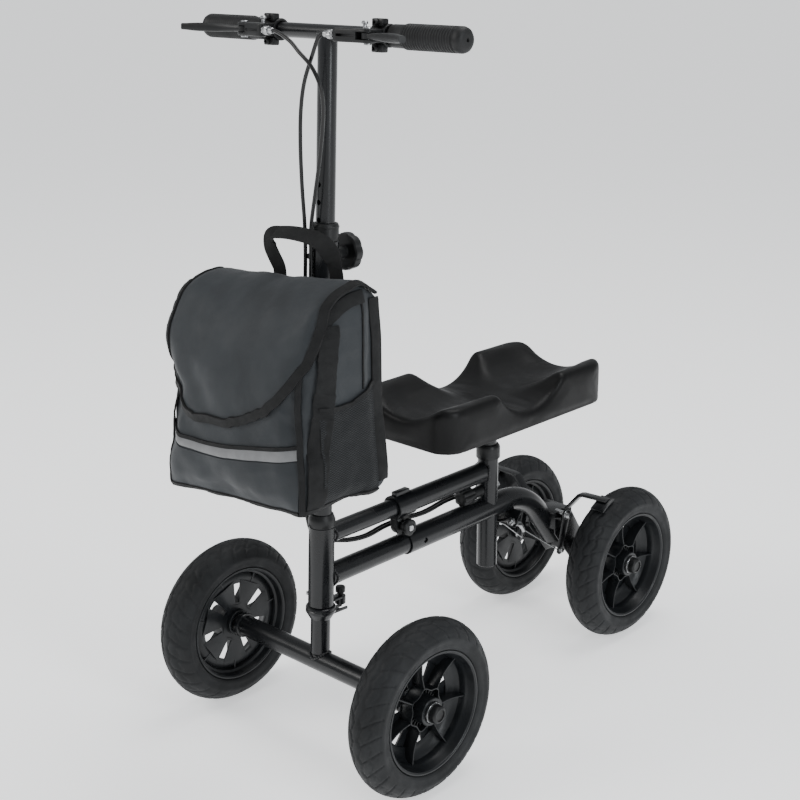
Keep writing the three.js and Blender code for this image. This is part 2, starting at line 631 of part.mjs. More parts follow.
// ---------- bag ----------
function bag() {
  const { width, bottom, top, back, lowerBack, front } = BAG;
  const profile = [
    [lowerBack, bottom + 12], [lowerBack - 12, bottom], [front + 6, bottom], [front, bottom + 8],
    [front + 6, bottom + 150], [front + 12, bottom + 215], [front + 28, bottom + 252],
    [front + 60, top - 10], [back - 20, top], [back, top - 12],
  ];
  piece('bag', 'bag_fabric', plateYZ(profile, -width / 2, width / 2));
  const strap = new THREE.CatmullRomCurve3([
    new THREE.Vector3(-52, back - 14, top + 2),
    new THREE.Vector3(-52.5, back - 13.5, top + 8),
    new THREE.Vector3(-48, back - 13, top + 18),
    new THREE.Vector3(-32, back - 12, top + 25),
    new THREE.Vector3(0, back - 12, top + 26),
    new THREE.Vector3(34, back - 12, top + 24),
    new THREE.Vector3(53, back - 13, top + 15),
    new THREE.Vector3(59.5, back - 13.5, top + 7),
    new THREE.Vector3(60, back - 14, top + 2),
  ]);
  const web = new THREE.Shape([[-1.2, -11], [1.2, -11], [1.2, 11], [-1.2, 11]]
    .map(([x, y]) => new THREE.Vector2(x, y)));
  const handle = new THREE.ExtrudeGeometry(web, { steps: 24, extrudePath: strap, bevelEnabled: false });
  piece('bag_handle', 'webbing', handle);
}

// ---------- brake cables ----------
const curveThrough = (points) => new THREE.CatmullRomCurve3(points, false, 'centripetal');

// The left lever's cable, side +1, crosses to the right of the stem, and the right one to the left.
function upperCable(side) {
  const ahead = -LEVER_PIVOT.ahead - 9;
  const loop = side > 0
    ? [[36, -49.3, 834], [22, -47, 811], [3.6, -42, 779], [-6, -38, 748], [-11, -34, 708],
      [-15, -27, 653], [-14.5, -22, 600]]
    : [[-11, -52, 827], [6.6, -54, 815.5], [27, -52, 799], [38, -48, 777], [37, -42, 756],
      [30, -36, 724], [19, -30, 684], [7.7, -26, 642], [-2.5, -22.5, 600]];
  return curveThrough([
    onSteering(side * (LEVER_AT - 36.6), ahead, BAR_UP),
    onSteering(side * (LEVER_AT - 43), ahead, BAR_UP),
    onSteering(side * (LEVER_AT - 53), ahead, BAR_UP),
    ...loop.map((place) => onSteering(...place)),
    onSteering(CABLE_X(side), CABLE_BACK, 565),
    onSteering(CABLE_X(side), CABLE_BACK, 534.5),
  ]);
}

// Down the column, past the right of the head tube, back between the frame tubes, past the right of
// the seat tube and down to the stops. The left brake's cable crosses under the lower tube.
function lowerCable(side) {
  const at = (x, y, z) => new THREE.Vector3(x, y, z);
  const beside = side < 0 ? 5.6 : 0;
  const round = (degrees, up) => {
    const turn = (degrees - side * 8) * Math.PI / 180;
    return onSteering(24.5 * Math.cos(turn), 24.5 * Math.sin(turn), up);
  };
  const points = [
    onSteering(CABLE_X(side), CABLE_BACK, 525.5),
    onSteering(CABLE_X(side), CABLE_BACK, 480),
    onSteering(-side * 4.5 - 9, CABLE_BACK - 2, 410),
    onSteering(-side * 3.2 - 9, CABLE_BACK - 3, 340),
    round(-130, 270),
    round(-172, 212),
    at(-20 - beside, FRONT_AXLE_Y + 26 - beside, 290),
    at(-12 - beside, -200, 275),
    at(-6 - beside, -165, 271),
    at(-13 - beside, -116, 270),
    at(-13 - beside, -84, 270),
    at(-8 - beside, -40, 269),
    at(-17 - beside, 20, 268),
    at(-18 - beside, 56, 266),
    at(-20 - beside, SEAT_TUBE.y, 258),
  ];
  const { x, y, z, slope, length } = CABLE_STOP;
  const inStopAt = (s) => at(side * x, y + s * Math.cos(slope), z - s * Math.sin(slope));
  if (side > 0) {
    points.push(at(-20.5, SEAT_TUBE.y + 11, 236), at(-14, SEAT_TUBE.y + 18, 217));
    points.push(at(3, SEAT_TUBE.y + 20, 214));
  } else {
    points.push(at(-25.5, SEAT_TUBE.y + 12, 240), at(-24, SEAT_TUBE.y + 19, 227));
  }
  points.push(inStopAt(-5), inStopAt(1), inStopAt(7));
  const wireEnd = at(side * (BRAKE_PIVOT.x - 3.5), BRAKE_PIVOT.y - 16, BRAKE_PIVOT.z - 59);
  const wire = curveThrough([inStopAt(5), inStopAt(length), wireEnd]);
  return join(swept(curveThrough(points), CABLE_R, 8, 70), swept(wire, 1, 6, 8));
}

function cables() {
  for (const [name, side] of [['left', 1], ['right', -1]]) {
    piece(`brake_cable_upper_${name}`, 'cable_sheath', swept(upperCable(side), CABLE_R, 8, 36));
    piece(`brake_cable_lower_${name}`, 'cable_sheath', lowerCable(side));
  }
}

rearFrame();
cableStops();
frameClamp();
rearBracket();
piece('rear_axle', 'powder_coat', axle(REAR_AXLE_R, REAR_TRACK, 13).translate(0, REAR_AXLE_Y, WHEEL_Z));
brakeArm('left', 1);
brakeArm('right', -1);
seat();
frontFrame();
steeredParts();
foldJoint();
upperColumn();
handlebar();
bag();
cables();

export default scooter;
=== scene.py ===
"""Four-wheel knee scooter: the looks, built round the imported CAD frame. Lengths are in mm."""

import math

import bmesh
import bpy
from mathutils import Matrix, Vector, noise
from mathutils.bvhtree import BVHTree


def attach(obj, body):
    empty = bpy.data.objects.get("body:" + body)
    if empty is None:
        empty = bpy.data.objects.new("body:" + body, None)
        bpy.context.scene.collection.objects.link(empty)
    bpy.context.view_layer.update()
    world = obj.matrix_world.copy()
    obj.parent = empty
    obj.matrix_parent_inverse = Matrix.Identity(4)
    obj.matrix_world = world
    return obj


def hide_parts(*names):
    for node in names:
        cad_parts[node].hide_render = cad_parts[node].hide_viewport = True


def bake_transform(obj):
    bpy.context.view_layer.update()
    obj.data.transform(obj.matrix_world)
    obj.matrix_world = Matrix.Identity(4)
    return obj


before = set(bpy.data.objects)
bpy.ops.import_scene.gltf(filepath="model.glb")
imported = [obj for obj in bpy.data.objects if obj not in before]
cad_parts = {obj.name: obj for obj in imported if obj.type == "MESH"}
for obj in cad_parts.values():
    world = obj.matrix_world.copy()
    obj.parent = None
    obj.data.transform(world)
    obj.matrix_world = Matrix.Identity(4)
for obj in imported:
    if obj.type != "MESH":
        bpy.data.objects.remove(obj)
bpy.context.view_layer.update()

# ---------------- dimensions, as in the CAD
MM = 0.001
FRONT_AXLE_Y, REAR_AXLE_Y = -261.0, 291.0
TYRE_R = 120.6
WHEEL_Z = TYRE_R * math.cos(math.pi / 36)
RAKE = math.radians(2.7)
LOWER_Z, LOWER_R = 241.0, 17.5  # the two tubes of the frame
UPPER_Z, UPPER_R = 301.5, 15.0
KNOB_Z = 272.5
SEAT_Y = 93.0
PAD_Y, PAD_Z = 84.0, 391.0
BRAKE_PIVOT = Vector((40, 238, 197))
COLUMN_R = 13.5
BAR_UP = 838.0
FOLD_BACK, FOLD_UP = 24.0, 345.0
LEVER_X, LEVER_OUT, LEVER_AHEAD = 95.0, 13.0, 40.0
CABLE_R, CABLE_BACK = 2.5, -21.0
CLIP_UP = 530.0
STOP, STOP_SLOPE, STOP_LENGTH = Vector((20, 121, 216)), math.radians(31), 34
SIDES = (("left", 1), ("right", -1))

STEER = Matrix.Translation((0, FRONT_AXLE_Y, WHEEL_Z)) @ Matrix.Rotation(-RAKE, 4, "X")
Z_TO_X = Matrix.Rotation(math.pi / 2, 4, "Y")
Z_TO_Y = Matrix.Rotation(-math.pi / 2, 4, "X")
Z_TO_AHEAD = Matrix.Rotation(math.pi / 2, 4, "X")
STAND = Matrix(((0, 0, 1, 0), (1, 0, 0, 0), (0, 1, 0, 0), (0, 0, 0, 1)))  # (back, up, x) to (x, back, up)


def steer(x, back, up):
    """A place on the steering assembly: heights are along its axis, from the front axle."""
    return STEER @ Vector((x, back, up))


def shift(x, y, z):
    return Matrix.Translation((x, y, z))


def mirror(side):
    return Matrix.Diagonal((side, 1, 1, 1))


def stop_frame(s):
    """A cable stop's own frame, with its Z down along the cable."""
    return shift(s * STOP.x, STOP.y, STOP.z) @ Matrix.Rotation(-math.pi / 2 - STOP_SLOPE, 4, "X")


def smooth(t):
    t = min(max(t, 0.0), 1.0)
    return t * t * (3 - 2 * t)


def tri(t):
    """A zigzag from -1 to 1 with a period of 1."""
    return 4 * abs((t % 1.0) - 0.5) - 1


def spread(a, b, n):
    return [a + (b - a) * i / n for i in range(n + 1)]


def turns(n, start=0.0):
    """n angles evenly round a circle."""
    return [2 * math.pi * (i + start) / n for i in range(n)]


def polar(r, a):
    return r * math.cos(a), r * math.sin(a)


# ---------------- mesh parts: (points, faces)
def loft(rings, closed=False):
    """Rings of equally many points joined in order; open ends are capped."""
    n, m = len(rings), len(rings[0])
    faces = []
    for i in range(n if closed else n - 1):
        a, b = i * m, (i + 1) % n * m
        faces += [(a + k, a + (k + 1) % m, b + (k + 1) % m, b + k) for k in range(m)]
    if not closed:
        faces += [tuple(range(m))[::-1], tuple(range((n - 1) * m, n * m))]
    return [tuple(p) for ring in rings for p in ring], faces


def panel(top, under):
    """Two grids of points, closed round their border."""
    nu, nv = len(top), len(top[0])
    base, faces = nu * nv, []
    for i in range(nu - 1):
        for j in range(nv - 1):
            a, b = i * nv + j, (i + 1) * nv + j
            faces += [(a, b, b + 1, a + 1), (base + a, base + a + 1, base + b + 1, base + b)]
    border = [i * nv for i in range(nu)] + [(nu - 1) * nv + j for j in range(1, nv)]
    border += [i * nv + nv - 1 for i in range(nu - 2, -1, -1)] + list(range(nv - 2, 0, -1))
    faces += [(a, base + a, base + b, b) for a, b in zip(border, border[1:] + border[:1])]
    return [tuple(p) for row in top + under for p in row], faces


def revolve(profile, sides=64):
    """Pairs of (radius, height) turned about Z; first == last makes a ring."""
    ring_like = profile[0] == profile[-1]
    points, rings, faces = [], [], []
    for r, z in profile[:-1] if ring_like else profile:
        count = sides if r > 0 else 1
        rings.append([len(points) + i % count for i in range(sides)])
        points += [(*polar(r, a), z) for a in turns(count)]
    for a, b in zip(rings, rings[1:] + (rings[:1] if ring_like else [])):
        for i in range(sides):
            j = (i + 1) % sides
            face = tuple(dict.fromkeys((a[i], a[j], b[j], b[i])))  # a corner on the axis counts once
            if len(face) > 2:
                faces.append(face)
    return points, faces


def rod(r, z0, z1, chamfer=0.6, sides=48):
    c = min(chamfer, r / 2, abs(z1 - z0) / 3)
    return revolve([(0, z0), (r - c, z0), (r, z0 + c), (r, z1 - c), (r - c, z1), (0, z1)], sides)


def pipe(ro, ri, z0, z1, c=0.5, sides=64):
    return revolve([(ri, z0 + c), (ri + c, z0), (ro - c, z0), (ro, z0 + c), (ro, z1 - c), (ro - c, z1),
                    (ri + c, z1), (ri, z1 - c), (ri, z0 + c)], sides)


def prism(outline, z0, z1):
    return loft([[(x, y, z) for x, y in outline] for z in (z0, z1)])


def block(x0, x1, y0, y1, z0, z1):
    return prism([(x0, y0), (x1, y0), (x1, y1), (x0, y1)], z0, z1)


def moved(part, *matrices):
    """The part in one or more places."""
    copies = [([tuple(m @ Vector(p)) for p in part[0]], part[1]) for m in matrices]
    return joined(*copies)


def joined(*parts):
    points, faces = [], []
    for p, f in parts:
        base = len(points)
        points += p
        faces += [tuple(i + base for i in face) for face in f]
    return points, faces


def beveled(part, width, segments=2, angle=25):
    """The part with its sharp edges rounded."""
    bm = bmesh.new()
    verts = [bm.verts.new(p) for p in part[0]]
    for face in part[1]:
        bm.faces.new([verts[i] for i in face])
    bmesh.ops.recalc_face_normals(bm, faces=bm.faces)
    sharp = [e for e in bm.edges if len(e.link_faces) == 2 and e.calc_face_angle(0) > math.radians(angle)]
    bmesh.ops.bevel(bm, geom=sharp, offset=width, segments=segments, profile=0.5, affect="EDGES",
                    clamp_overlap=True)
    bm.verts.index_update()
    made = [tuple(v.co) for v in bm.verts], [tuple(v.index for v in f.verts) for f in bm.faces]
    bm.free()
    return made


def stand_part(outline, x0, x1, width=0.8):
    """A plate of a (back, up) outline between two X planes, with rounded edges."""
    return moved(beveled(prism(outline, x0, x1), width), STAND)


def frames_along(points, closed=False):
    """The points, and a tangent, side and up at each, carried along without twist."""
    points = [Vector(p) for p in points]
    n = len(points)
    tangents = []
    for i in range(n):
        a = points[(i - 1) % n] if closed or i else points[i]
        b = points[(i + 1) % n] if closed or i < n - 1 else points[i]
        tangents.append((b - a).normalized())
    seed = Vector((0, 0, 1)) if abs(tangents[0].z) < 0.9 else Vector((1, 0, 0))
    side = tangents[0].cross(seed).normalized()
    made = []
    for t in tangents:
        side = (side - t * side.dot(t)).normalized()
        made.append((t, side, t.cross(side)))
    return points, made


def swept(points, radius, sides=12, closed=False):
    """A round section carried along points. radius may be a function of the share of the way."""
    points, axes = frames_along(points, closed)
    last = max(len(points) - 1, 1)
    rings = []
    for i, (p, (_, s, u)) in enumerate(zip(points, axes)):
        r = radius(i / last) if callable(radius) else radius
        rings.append([p + s * (r * math.cos(a)) + u * (r * math.sin(a)) for a in turns(sides, 0.5)])
    return loft(rings, closed)


TAPE_SECTION = [(-1, 0.15), (-0.96, 0.75), (-0.88, 1), (0.88, 1), (0.96, 0.75), (1, 0.15), (0.94, 0),
                (-0.94, 0)]


def tape(points, normals, width, thick):
    """A flat strip with soft edges, lying along points with its face along normals."""
    points, axes = frames_along(points)
    rings = []
    for p, (t, _, _), normal in zip(points, axes, normals):
        u = (normal - t * normal.dot(t)).normalized()
        s = u.cross(t)
        rings.append([p + s * (a * width / 2) + u * (b * thick) for a, b in TAPE_SECTION])
    return loft(rings)


def catmull(points, steps):
    """A centripetal Catmull-Rom curve through the points, sampled evenly by length."""
    pts = [Vector(p) for p in points]
    pts = [pts[0] * 2 - pts[1], *pts, pts[-1] * 2 - pts[-2]]
    spans = (((0, 1), (1, 2), (2, 3)), ((0, 2), (1, 3)), ((1, 2),))
    dense, per_span = [], 24
    for i in range(len(pts) - 3):
        four = pts[i:i + 4]
        knots = [0.0]
        for a, b in zip(four, four[1:]):
            knots.append(knots[-1] + math.sqrt((b - a).length))
        for k in range(per_span):
            t = knots[1] + (knots[2] - knots[1]) * k / per_span
            line = four
            for span in spans:
                line = [a * ((knots[h] - t) / (knots[h] - knots[g]))
                        + b * ((t - knots[g]) / (knots[h] - knots[g]))
                        for a, b, (g, h) in zip(line, line[1:], span)]
            dense.append(line[0])
    return resampled([*dense, pts[-2]], steps)


def resampled(points, steps):
    points = [Vector(p) for p in points]
    lengths = [0.0]
    for a, b in zip(points, points[1:]):
        lengths.append(lengths[-1] + (b - a).length)
    made, i = [], 0
    for k in range(steps + 1):
        want = lengths[-1] * k / steps
        while i < len(points) - 2 and lengths[i + 1] < want:
            i += 1
        span = max(lengths[i + 1] - lengths[i], 1e-9)
        made.append(points[i].lerp(points[i + 1], (want - lengths[i]) / span))
    return made


def hexagon(r, turn=0.0):
    return [polar(r, turn + k * math.pi / 3) for k in range(6)]


def bolt_head(origin, direction, across, high, socket=True):
    """A round head with a socket, or a hexagon head, on a washer."""
    r, washer = across / 2, 1.2
    if socket:
        head = revolve([(0, washer), (r, washer), (r, high * 0.7), (r * 0.85, high), (r * 0.5, high),
                        (r * 0.45, high * 0.55), (0, high * 0.55)], 32)
    else:
        head = moved(beveled(prism(hexagon(r * 1.12), 0, high - washer), 0.5), shift(0, 0, washer))
    turn = Vector(direction).to_track_quat("Z", "Y").to_matrix().to_4x4()
    return moved(joined(rod(r * 1.25, 0, washer, 0.3, 32), head), Matrix.Translation(origin) @ turn)


def saddle(branch_r, main_r):
    """The weld's line where a tube along Z ends square on a tube along X."""
    made = []
    for a in turns(64):
        x, y = polar(branch_r, a)
        made.append(Vector((x, y, math.sqrt(max(main_r * main_r - y * y, 0)))))
    return made


def weld_bead(line, r=1.9):
    """A rippled bead along a closed line."""
    steps = 150
    points = resampled([*line, line[0]], steps)[:-1]
    return swept(points, lambda t: r * (1 + 0.16 * math.sin(t * steps * 2 * math.pi / 5)), 10, closed=True)


# ---------------- objects
def solid(name, part, scale=1.0):
    """A new object of the part, with its faces turned outwards."""
    mesh = bpy.data.meshes.new(name)
    mesh.from_pydata([(x * scale, y * scale, z * scale) for x, y, z in part[0]], [], part[1])
    bm = bmesh.new()
    bm.from_mesh(mesh)
    bmesh.ops.recalc_face_normals(bm, faces=bm.faces)
    bm.to_mesh(mesh)
    bm.free()
    obj = bpy.data.objects.new(name, mesh)
    bpy.context.scene.collection.objects.link(obj)
    return obj


def evaluated(obj):
    """The mesh that the object's modifiers make."""
    bpy.context.view_layer.update()
    return bpy.data.meshes.new_from_object(obj.evaluated_get(bpy.context.evaluated_depsgraph_get()))


def place(name, part, look, body, at=None, replaces=None, sharp=38):
    """A finished piece. It rides on the body, if one is given."""
    obj = solid(name, moved(part, at) if at else part, MM)
    obj.data.shade_smooth()
    if sharp:
        obj.data.set_sharp_from_angle(angle=math.radians(sharp))
    obj.data.materials.append(looks[look])
    if replaces:
        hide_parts(replaces)
    if body:
        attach(obj, body)
    return obj


def skin(node, part, look, body, at=None, end="", sharp=38):
    """A piece in place of the CAD node that it is named after."""
    return place(f"{node}_skin{end}", part, look, body, at, f"{node}{end}", sharp)


def bored(part, *cutters):
    """The part with the cutters taken out of it."""
    body = solid("bored", part)
    tools = [solid("borer", c) for c in cutters]
    for tool in tools:
        modifier = body.modifiers.new("bore", "BOOLEAN")
        modifier.object, modifier.operation, modifier.solver = tool, "DIFFERENCE", "EXACT"
    mesh = evaluated(body)
    for obj in [body, *tools]:
        bpy.data.objects.remove(obj)
    return [tuple(v.co) for v in mesh.vertices], [tuple(p.vertices) for p in mesh.polygons]


# ---------------- materials
looks = {}


class Look:
    """One procedural material, from small pieces."""

    def __init__(self, name, color, rough, metal=0.0, **sockets):
        self.material = looks[name] = bpy.data.materials.new(name)
        self.material.use_nodes = True
        self.tree = self.material.node_tree
        self.shader = self.tree.nodes["Principled BSDF"]
        self.shader.inputs["Metallic"].default_value = metal
        for key, value in sockets.items():
            self.shader.inputs[key.replace("_", " ")].default_value = value
        self.color, self.rough = color, rough
        self.coord = self.node("ShaderNodeTexCoord").outputs["Object"]

    def feed(self, socket, value):
        if isinstance(value, bpy.types.NodeSocket):
            self.tree.links.new(value, socket)
        else:
            socket.default_value = value

    def node(self, kind, **inputs):
        made = self.tree.nodes.new(kind)
        for key, value in inputs.items():
            self.feed(made.inputs[key.replace("_", " ")], value)
        return made

    def math(self, operation, a, b=0.5):
        made = self.tree.nodes.new("ShaderNodeMath")
        made.operation = operation
        self.feed(made.inputs[0], a)
        self.feed(made.inputs[1], b)
        return made.outputs[0]

    def noise(self, scale, detail=3.0, stretch=(1, 1, 1)):
        mapped = self.node("ShaderNodeMapping", Vector=self.coord, Scale=stretch)
        made = self.node("ShaderNodeTexNoise", Vector=mapped.outputs[0], Scale=scale, Detail=detail)
        return made.outputs["Fac"]

    def cells(self, scale):
        return self.node("ShaderNodeTexVoronoi", Vector=self.coord, Scale=scale).outputs["Distance"]

    def weave(self, *turns_of):
        """The product of a sine for each (x, y, z) number of turns in a metre."""
        split = self.node("ShaderNodeSeparateXYZ", Vector=self.coord).outputs
        waves = []
        for weights in turns_of:
            total = self.math("MULTIPLY", split[0], weights[0])
            for i in (1, 2):
                total = self.math("ADD", total, self.math("MULTIPLY", split[i], weights[i]))
            waves.append(self.math("SINE", self.math("MULTIPLY", total, 2 * math.pi), 0))
        return self.math("MULTIPLY", *waves)

    def finish(self, tone, tone_spread, rough_tone, rough_spread, bumps):
        """tone and rough_tone are 0-1 textures; bumps is a list of (texture, strength, distance in mm)."""
        low, high = 0.3, 0.7
        ramp = self.node("ShaderNodeValToRGB", Fac=tone)
        for element, at, k in zip(ramp.color_ramp.elements, (low, high), (1 - tone_spread, 1 + tone_spread)):
            element.position = at
            element.color = [min(c * k, 1) for c in self.color] + [1]
        self.feed(self.shader.inputs["Base Color"], ramp.outputs[0])
        rough = self.node("ShaderNodeMapRange", Value=rough_tone, From_Min=low, From_Max=high,
                          To_Min=self.rough - rough_spread, To_Max=self.rough + rough_spread)
        self.feed(self.shader.inputs["Roughness"], rough.outputs[0])
        normal = {}
        for texture, strength, distance in bumps:
            bump = self.node("ShaderNodeBump", Strength=strength, Distance=distance * MM, Height=texture,
                             **normal)
            normal = {"Normal": bump.outputs[0]}
        self.feed(self.shader.inputs["Normal"], normal["Normal"])


# A black or dark grey with one or two grains: colour, roughness, specular level, tone noise and its
# spread, roughness noise and its spread, then each grain's noise, strength and depth.
PLAIN_LOOKS = {
    "coat": ((0.0062, 0.0068, 0.0078), 0.28, 0.32, (14,), 0.2, (30,), 0.05,
             ((1400, 2), 0.05, 0.2), ((260, 2), 0.04, 0.3)),
    "plastic": ((0.0075, 0.0078, 0.0082), 0.42, 0.3, (40,), 0.25, (80,), 0.07, ((2200, 2), 0.25, 0.2)),
    "rim": ((0.009, 0.0102, 0.0115), 0.36, 0.32, (25,), 0.25, (60,), 0.08, ((1800, 2), 0.22, 0.2)),
    "dark": ((0.004, 0.004, 0.0042), 0.45, 0.3, (50,), 0.3, (90,), 0.05, ((2000, 2), 0.2, 0.2)),
    "tyre": ((0.0125, 0.0133, 0.0142), 0.6, 0.22, (22, 5), 0.3, (60, 4), 0.1,
             ((1500, 3), 0.35, 0.3), ((90, 2), 0.1, 0.6)),
    "rubber": ((0.0085, 0.0088, 0.0092), 0.55, 0.3, (60,), 0.25, (90,), 0.06, ((2600, 2), 0.3, 0.2)),
    "cable": ((0.005, 0.005, 0.0053), 0.33, 0.35, (120,), 0.2, (150,), 0.06, ((900, 2), 0.15, 0.2)),
}


def make_looks():
    for name, (color, rough, level, tone, spread_by, grain, rough_by, *bumps) in PLAIN_LOOKS.items():
        m = Look(name, color, rough, Specular_IOR_Level=level)
        m.finish(m.noise(*tone), spread_by, m.noise(*grain), rough_by,
                 [(m.noise(*b), k, d) for b, k, d in bumps])
        if name == "coat":
            m.shader.inputs["Coat Weight"].default_value = 0.12
            m.shader.inputs["Coat Roughness"].default_value = 0.14
    m = Look("steel", (0.4, 0.405, 0.41), 0.3, 1.0)
    m.finish(m.noise(300), 0.18, m.noise(500, 3, (1, 1, 8)), 0.1, [(m.noise(1600, 2), 0.12, 0.15)])
    m = Look("vinyl", (0.0042, 0.0042, 0.0044), 0.4, Specular_IOR_Level=0.16)
    m.finish(m.noise(12), 0.22, m.noise(45), 0.07,
             [(m.cells(900), 0.22, 0.25), (m.noise(2400, 2), 0.12, 0.2)])
    m = Look("bag", (0.0205, 0.0236, 0.0268), 0.6, Specular_IOR_Level=0.25, Sheen_Weight=0.05)
    m.finish(m.noise(16, 4), 0.16, m.noise(50), 0.06,
             [(m.weave((900, 900, 0), (0, 430, 900)), 0.16, 0.18), (m.noise(45, 3), 0.25, 1.8)])
    m = Look("mesh", (0.0095, 0.0105, 0.0115), 0.72, Specular_IOR_Level=0.25)
    net = m.math("ADD", m.math("MULTIPLY", m.weave((160, 160, 0), (0, 40, 330)), 0.5), 0.5)
    m.finish(net, 0.6, m.noise(60), 0.05, [(net, 0.8, 0.7), (m.noise(50, 3), 0.2, 1.5)])
    m = Look("binding", (0.0055, 0.0057, 0.006), 0.7, Specular_IOR_Level=0.25)
    m.finish(m.noise(60), 0.25, m.noise(90), 0.06, [(m.weave((700, 700, 0), (0, 400, 700)), 0.35, 0.25)])
    m = Look("strip", (0.15, 0.152, 0.156), 0.5, 0.1)
    m.finish(m.noise(70, 4), 0.14, m.noise(90), 0.08,
             [(m.cells(1500), 0.2, 0.2), (m.noise(60, 3), 0.15, 0.8)])


make_looks()


# ---------------- camera, first
def make_camera():
    azimuth, elevation, roll = (math.radians(a) for a in (43.527, 17.782, -0.382))
    level, ahead = polar(math.cos(elevation), azimuth)
    back = Vector((ahead, -level, math.sin(elevation)))
    right = Vector((*polar(1, azimuth), 0))
    up = back.cross(right)
    right, up = right * math.cos(roll) + up * math.sin(roll), up * math.cos(roll) - right * math.sin(roll)
    data = bpy.data.cameras.new("camera")
    data.sensor_width, data.lens = 36, 65.84
    data.clip_start, data.clip_end = 0.05, 60
    camera = bpy.data.objects.new("camera", data)
    bpy.context.scene.collection.objects.link(camera)
    turn = Matrix((right, up, back)).transposed().to_4x4()
    camera.matrix_world = Matrix.Translation(Vector((1326, -1494, 1074.3)) * MM) @ turn
    bpy.context.scene.camera = camera


make_camera()

# ---------------- wheels
SPOKES = 7
TREAD_TURNS, TREAD_R = 30, 100


def tyre_part():
    half = [(84.4, 20), (84.6, 24.4), (86.6, 26.2), (91, 27.9), (96, 28.9), (100, 28.7), (104, 27.2),
            (108, 24.6), (111.8, 21), (115, 16.8), (117.9, 11.8), (119.9, 6.6), (120.6, 2.3)]
    path = resampled(catmull([(r, w, 0) for r, w in half] + [(r, -w, 0) for r, w in reversed(half)], 200), 56)
    rings = []
    for a in turns(420):
        turn, ring = a / (2 * math.pi) * TREAD_TURNS, []
        for r, w, _ in path:
            edge, right, cut = abs(w), w > 0, 0.0
            if r > TREAD_R:
                wave = tri(turn + 0.25 * right)
                lean = turn + 0.5 * right + 0.035 * (edge - 12)
                off = abs(lean - round(lean)) * 2 * math.pi * 118 / TREAD_TURNS
                cut = max(1.7 * smooth(1.5 - abs(edge - 6 - 1.8 * wave) / 1.1),
                          1.5 * smooth(1.5 - abs(edge - 17.5 - 2.2 * wave)))
                if 8 < edge < 28.5:
                    cut = max(cut, 1.9 * smooth(1.6 - off / 1.1) * smooth((28.8 - edge) / 2))
            line = 0.7 * smooth(1.4 - abs(r - 104) / 0.8) if edge > 20 else 0
            line += 0.6 * smooth(1.4 - abs(r - 88.5) / 0.8) - 0.8 * smooth((3.6 - abs(r - 93.5)) / 1.6)
            ring.append((*polar(r - cut - 0.4 * line, a), w - math.copysign(line * 0.8, w)))
        rings.append(ring)
    return loft(rings, closed=True)


def rim_part():
    """A barrel with a bowl in it, a hub with fins in a scalloped ring, and a rib and a web for each spoke."""
    half = [(84.2, 20), (84, 24), (83.4, 24.8), (81.4, 24.9), (80.6, 23.8), (79.8, 23.4), (79, 21.6),
            (77.6, 15)]
    barrel = half + [(75.6, 11.4), (74.2, 8), (73, -8), (74.6, -13)] + [(r, -w) for r, w in reversed(half)]
    bowl = [(57.5, -9.4), (58.6, -8.4), (62, -7.6), (66, -6.2), (70, -3.4), (73.6, 1.6), (75, -6),
            (68, -11.4), (58.6, -11.4), (57.5, -10.6), (57.5, -9.4)]
    parts = [revolve(barrel + barrel[:1], 112), revolve(bowl, 112), pipe(19, 14.3, -20, 20, 0.8, 56),
             pipe(29, 18, -13, -10.4, 0.4, 56)]
    first, wall = math.pi / SPOKES + math.pi / 36, 1.7
    hub = []
    for a in turns(140):
        r = 26.4 + 4.4 * abs(math.cos(SPOKES * (a - first) / 2)) ** 2.5
        hub.append([(*polar(r - inner, a), z) for inner, z in ((0, -13), (0, 9.6), (wall, 9.6), (wall, -13))])
    parts.append(beveled(loft(hub, closed=True), 0.4, 2, 60))
    fin = beveled(block(18.4, 25.4, -0.7, 0.7, -11, 4), 0.3, 1)
    parts.append(moved(fin, *[Matrix.Rotation(a, 4, "Z") for a in turns(24)]))
    rib, along, across = [], spread(0, 1, 10), spread(-1, 1, 8)
    for t in along:
        u, top = 28.6 + 46.4 * t, 9.4 + 0.8 * t - 3.4 * math.sin(math.pi * t)
        rib.append([(u, -1.3, -12), (u, 1.3, -12), (u, 0.9, top), (u, -0.9, top)])
    web = [[[(27.6 + 32 * t, s * (9 + 12.5 * t), -10.6 + 1.4 * t - 2.4 * (1 - s * s) * t - deep)
             for s in across] for t in along] for deep in (0, 2.4)]
    spoke = joined(beveled(loft(rib), 0.4, 2, 50), panel(*web))
    parts.append(moved(spoke, *[Matrix.Rotation(a + first, 4, "Z") for a in turns(SPOKES)]))
    return joined(*parts)


def wheels():
    tyre, rim = tyre_part(), rim_part()
    cap = revolve([(6.3, 20.6), (12.6, 20.6), (13.2, 21.4), (13.2, 23.6), (12.2, 24.4), (12.0, 30.6),
                   (11.4, 32.2), (10.2, 33.4), (8.6, 33.9), (7.9, 33.4), (7.6, 32.2), (0, 31.6)], 48)
    washer = joined(pipe(12, 6.6, 20.05, 20.5, 0.15, 40), pipe(13.7, 12.7, 21.6, 23.2, 0.3, 48))
    for end, y, x, axle in (("front", FRONT_AXLE_Y, 188.5, "steering"),
                            ("rear", REAR_AXLE_Y, 109.0, "rear_frame")):
        for word, s in SIDES:
            where = f"_{end}_{word}"
            at = shift(s * x, y, WHEEL_Z) @ Matrix.Rotation(s * math.pi / 2, 4, "Y")
            skin("tyre", tyre, "tyre", "wheel" + where, at, where, 0)
            skin("rim", rim, "rim", "wheel" + where, at, where)
            place("end_cap" + where, cap, "plastic", axle, at, "wheel_cap" + where)
            place("cap_ring" + where, washer, "steel", axle, at)
            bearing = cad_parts["bearing" + where].data.materials
            bearing.clear()
            bearing.append(looks["steel"])


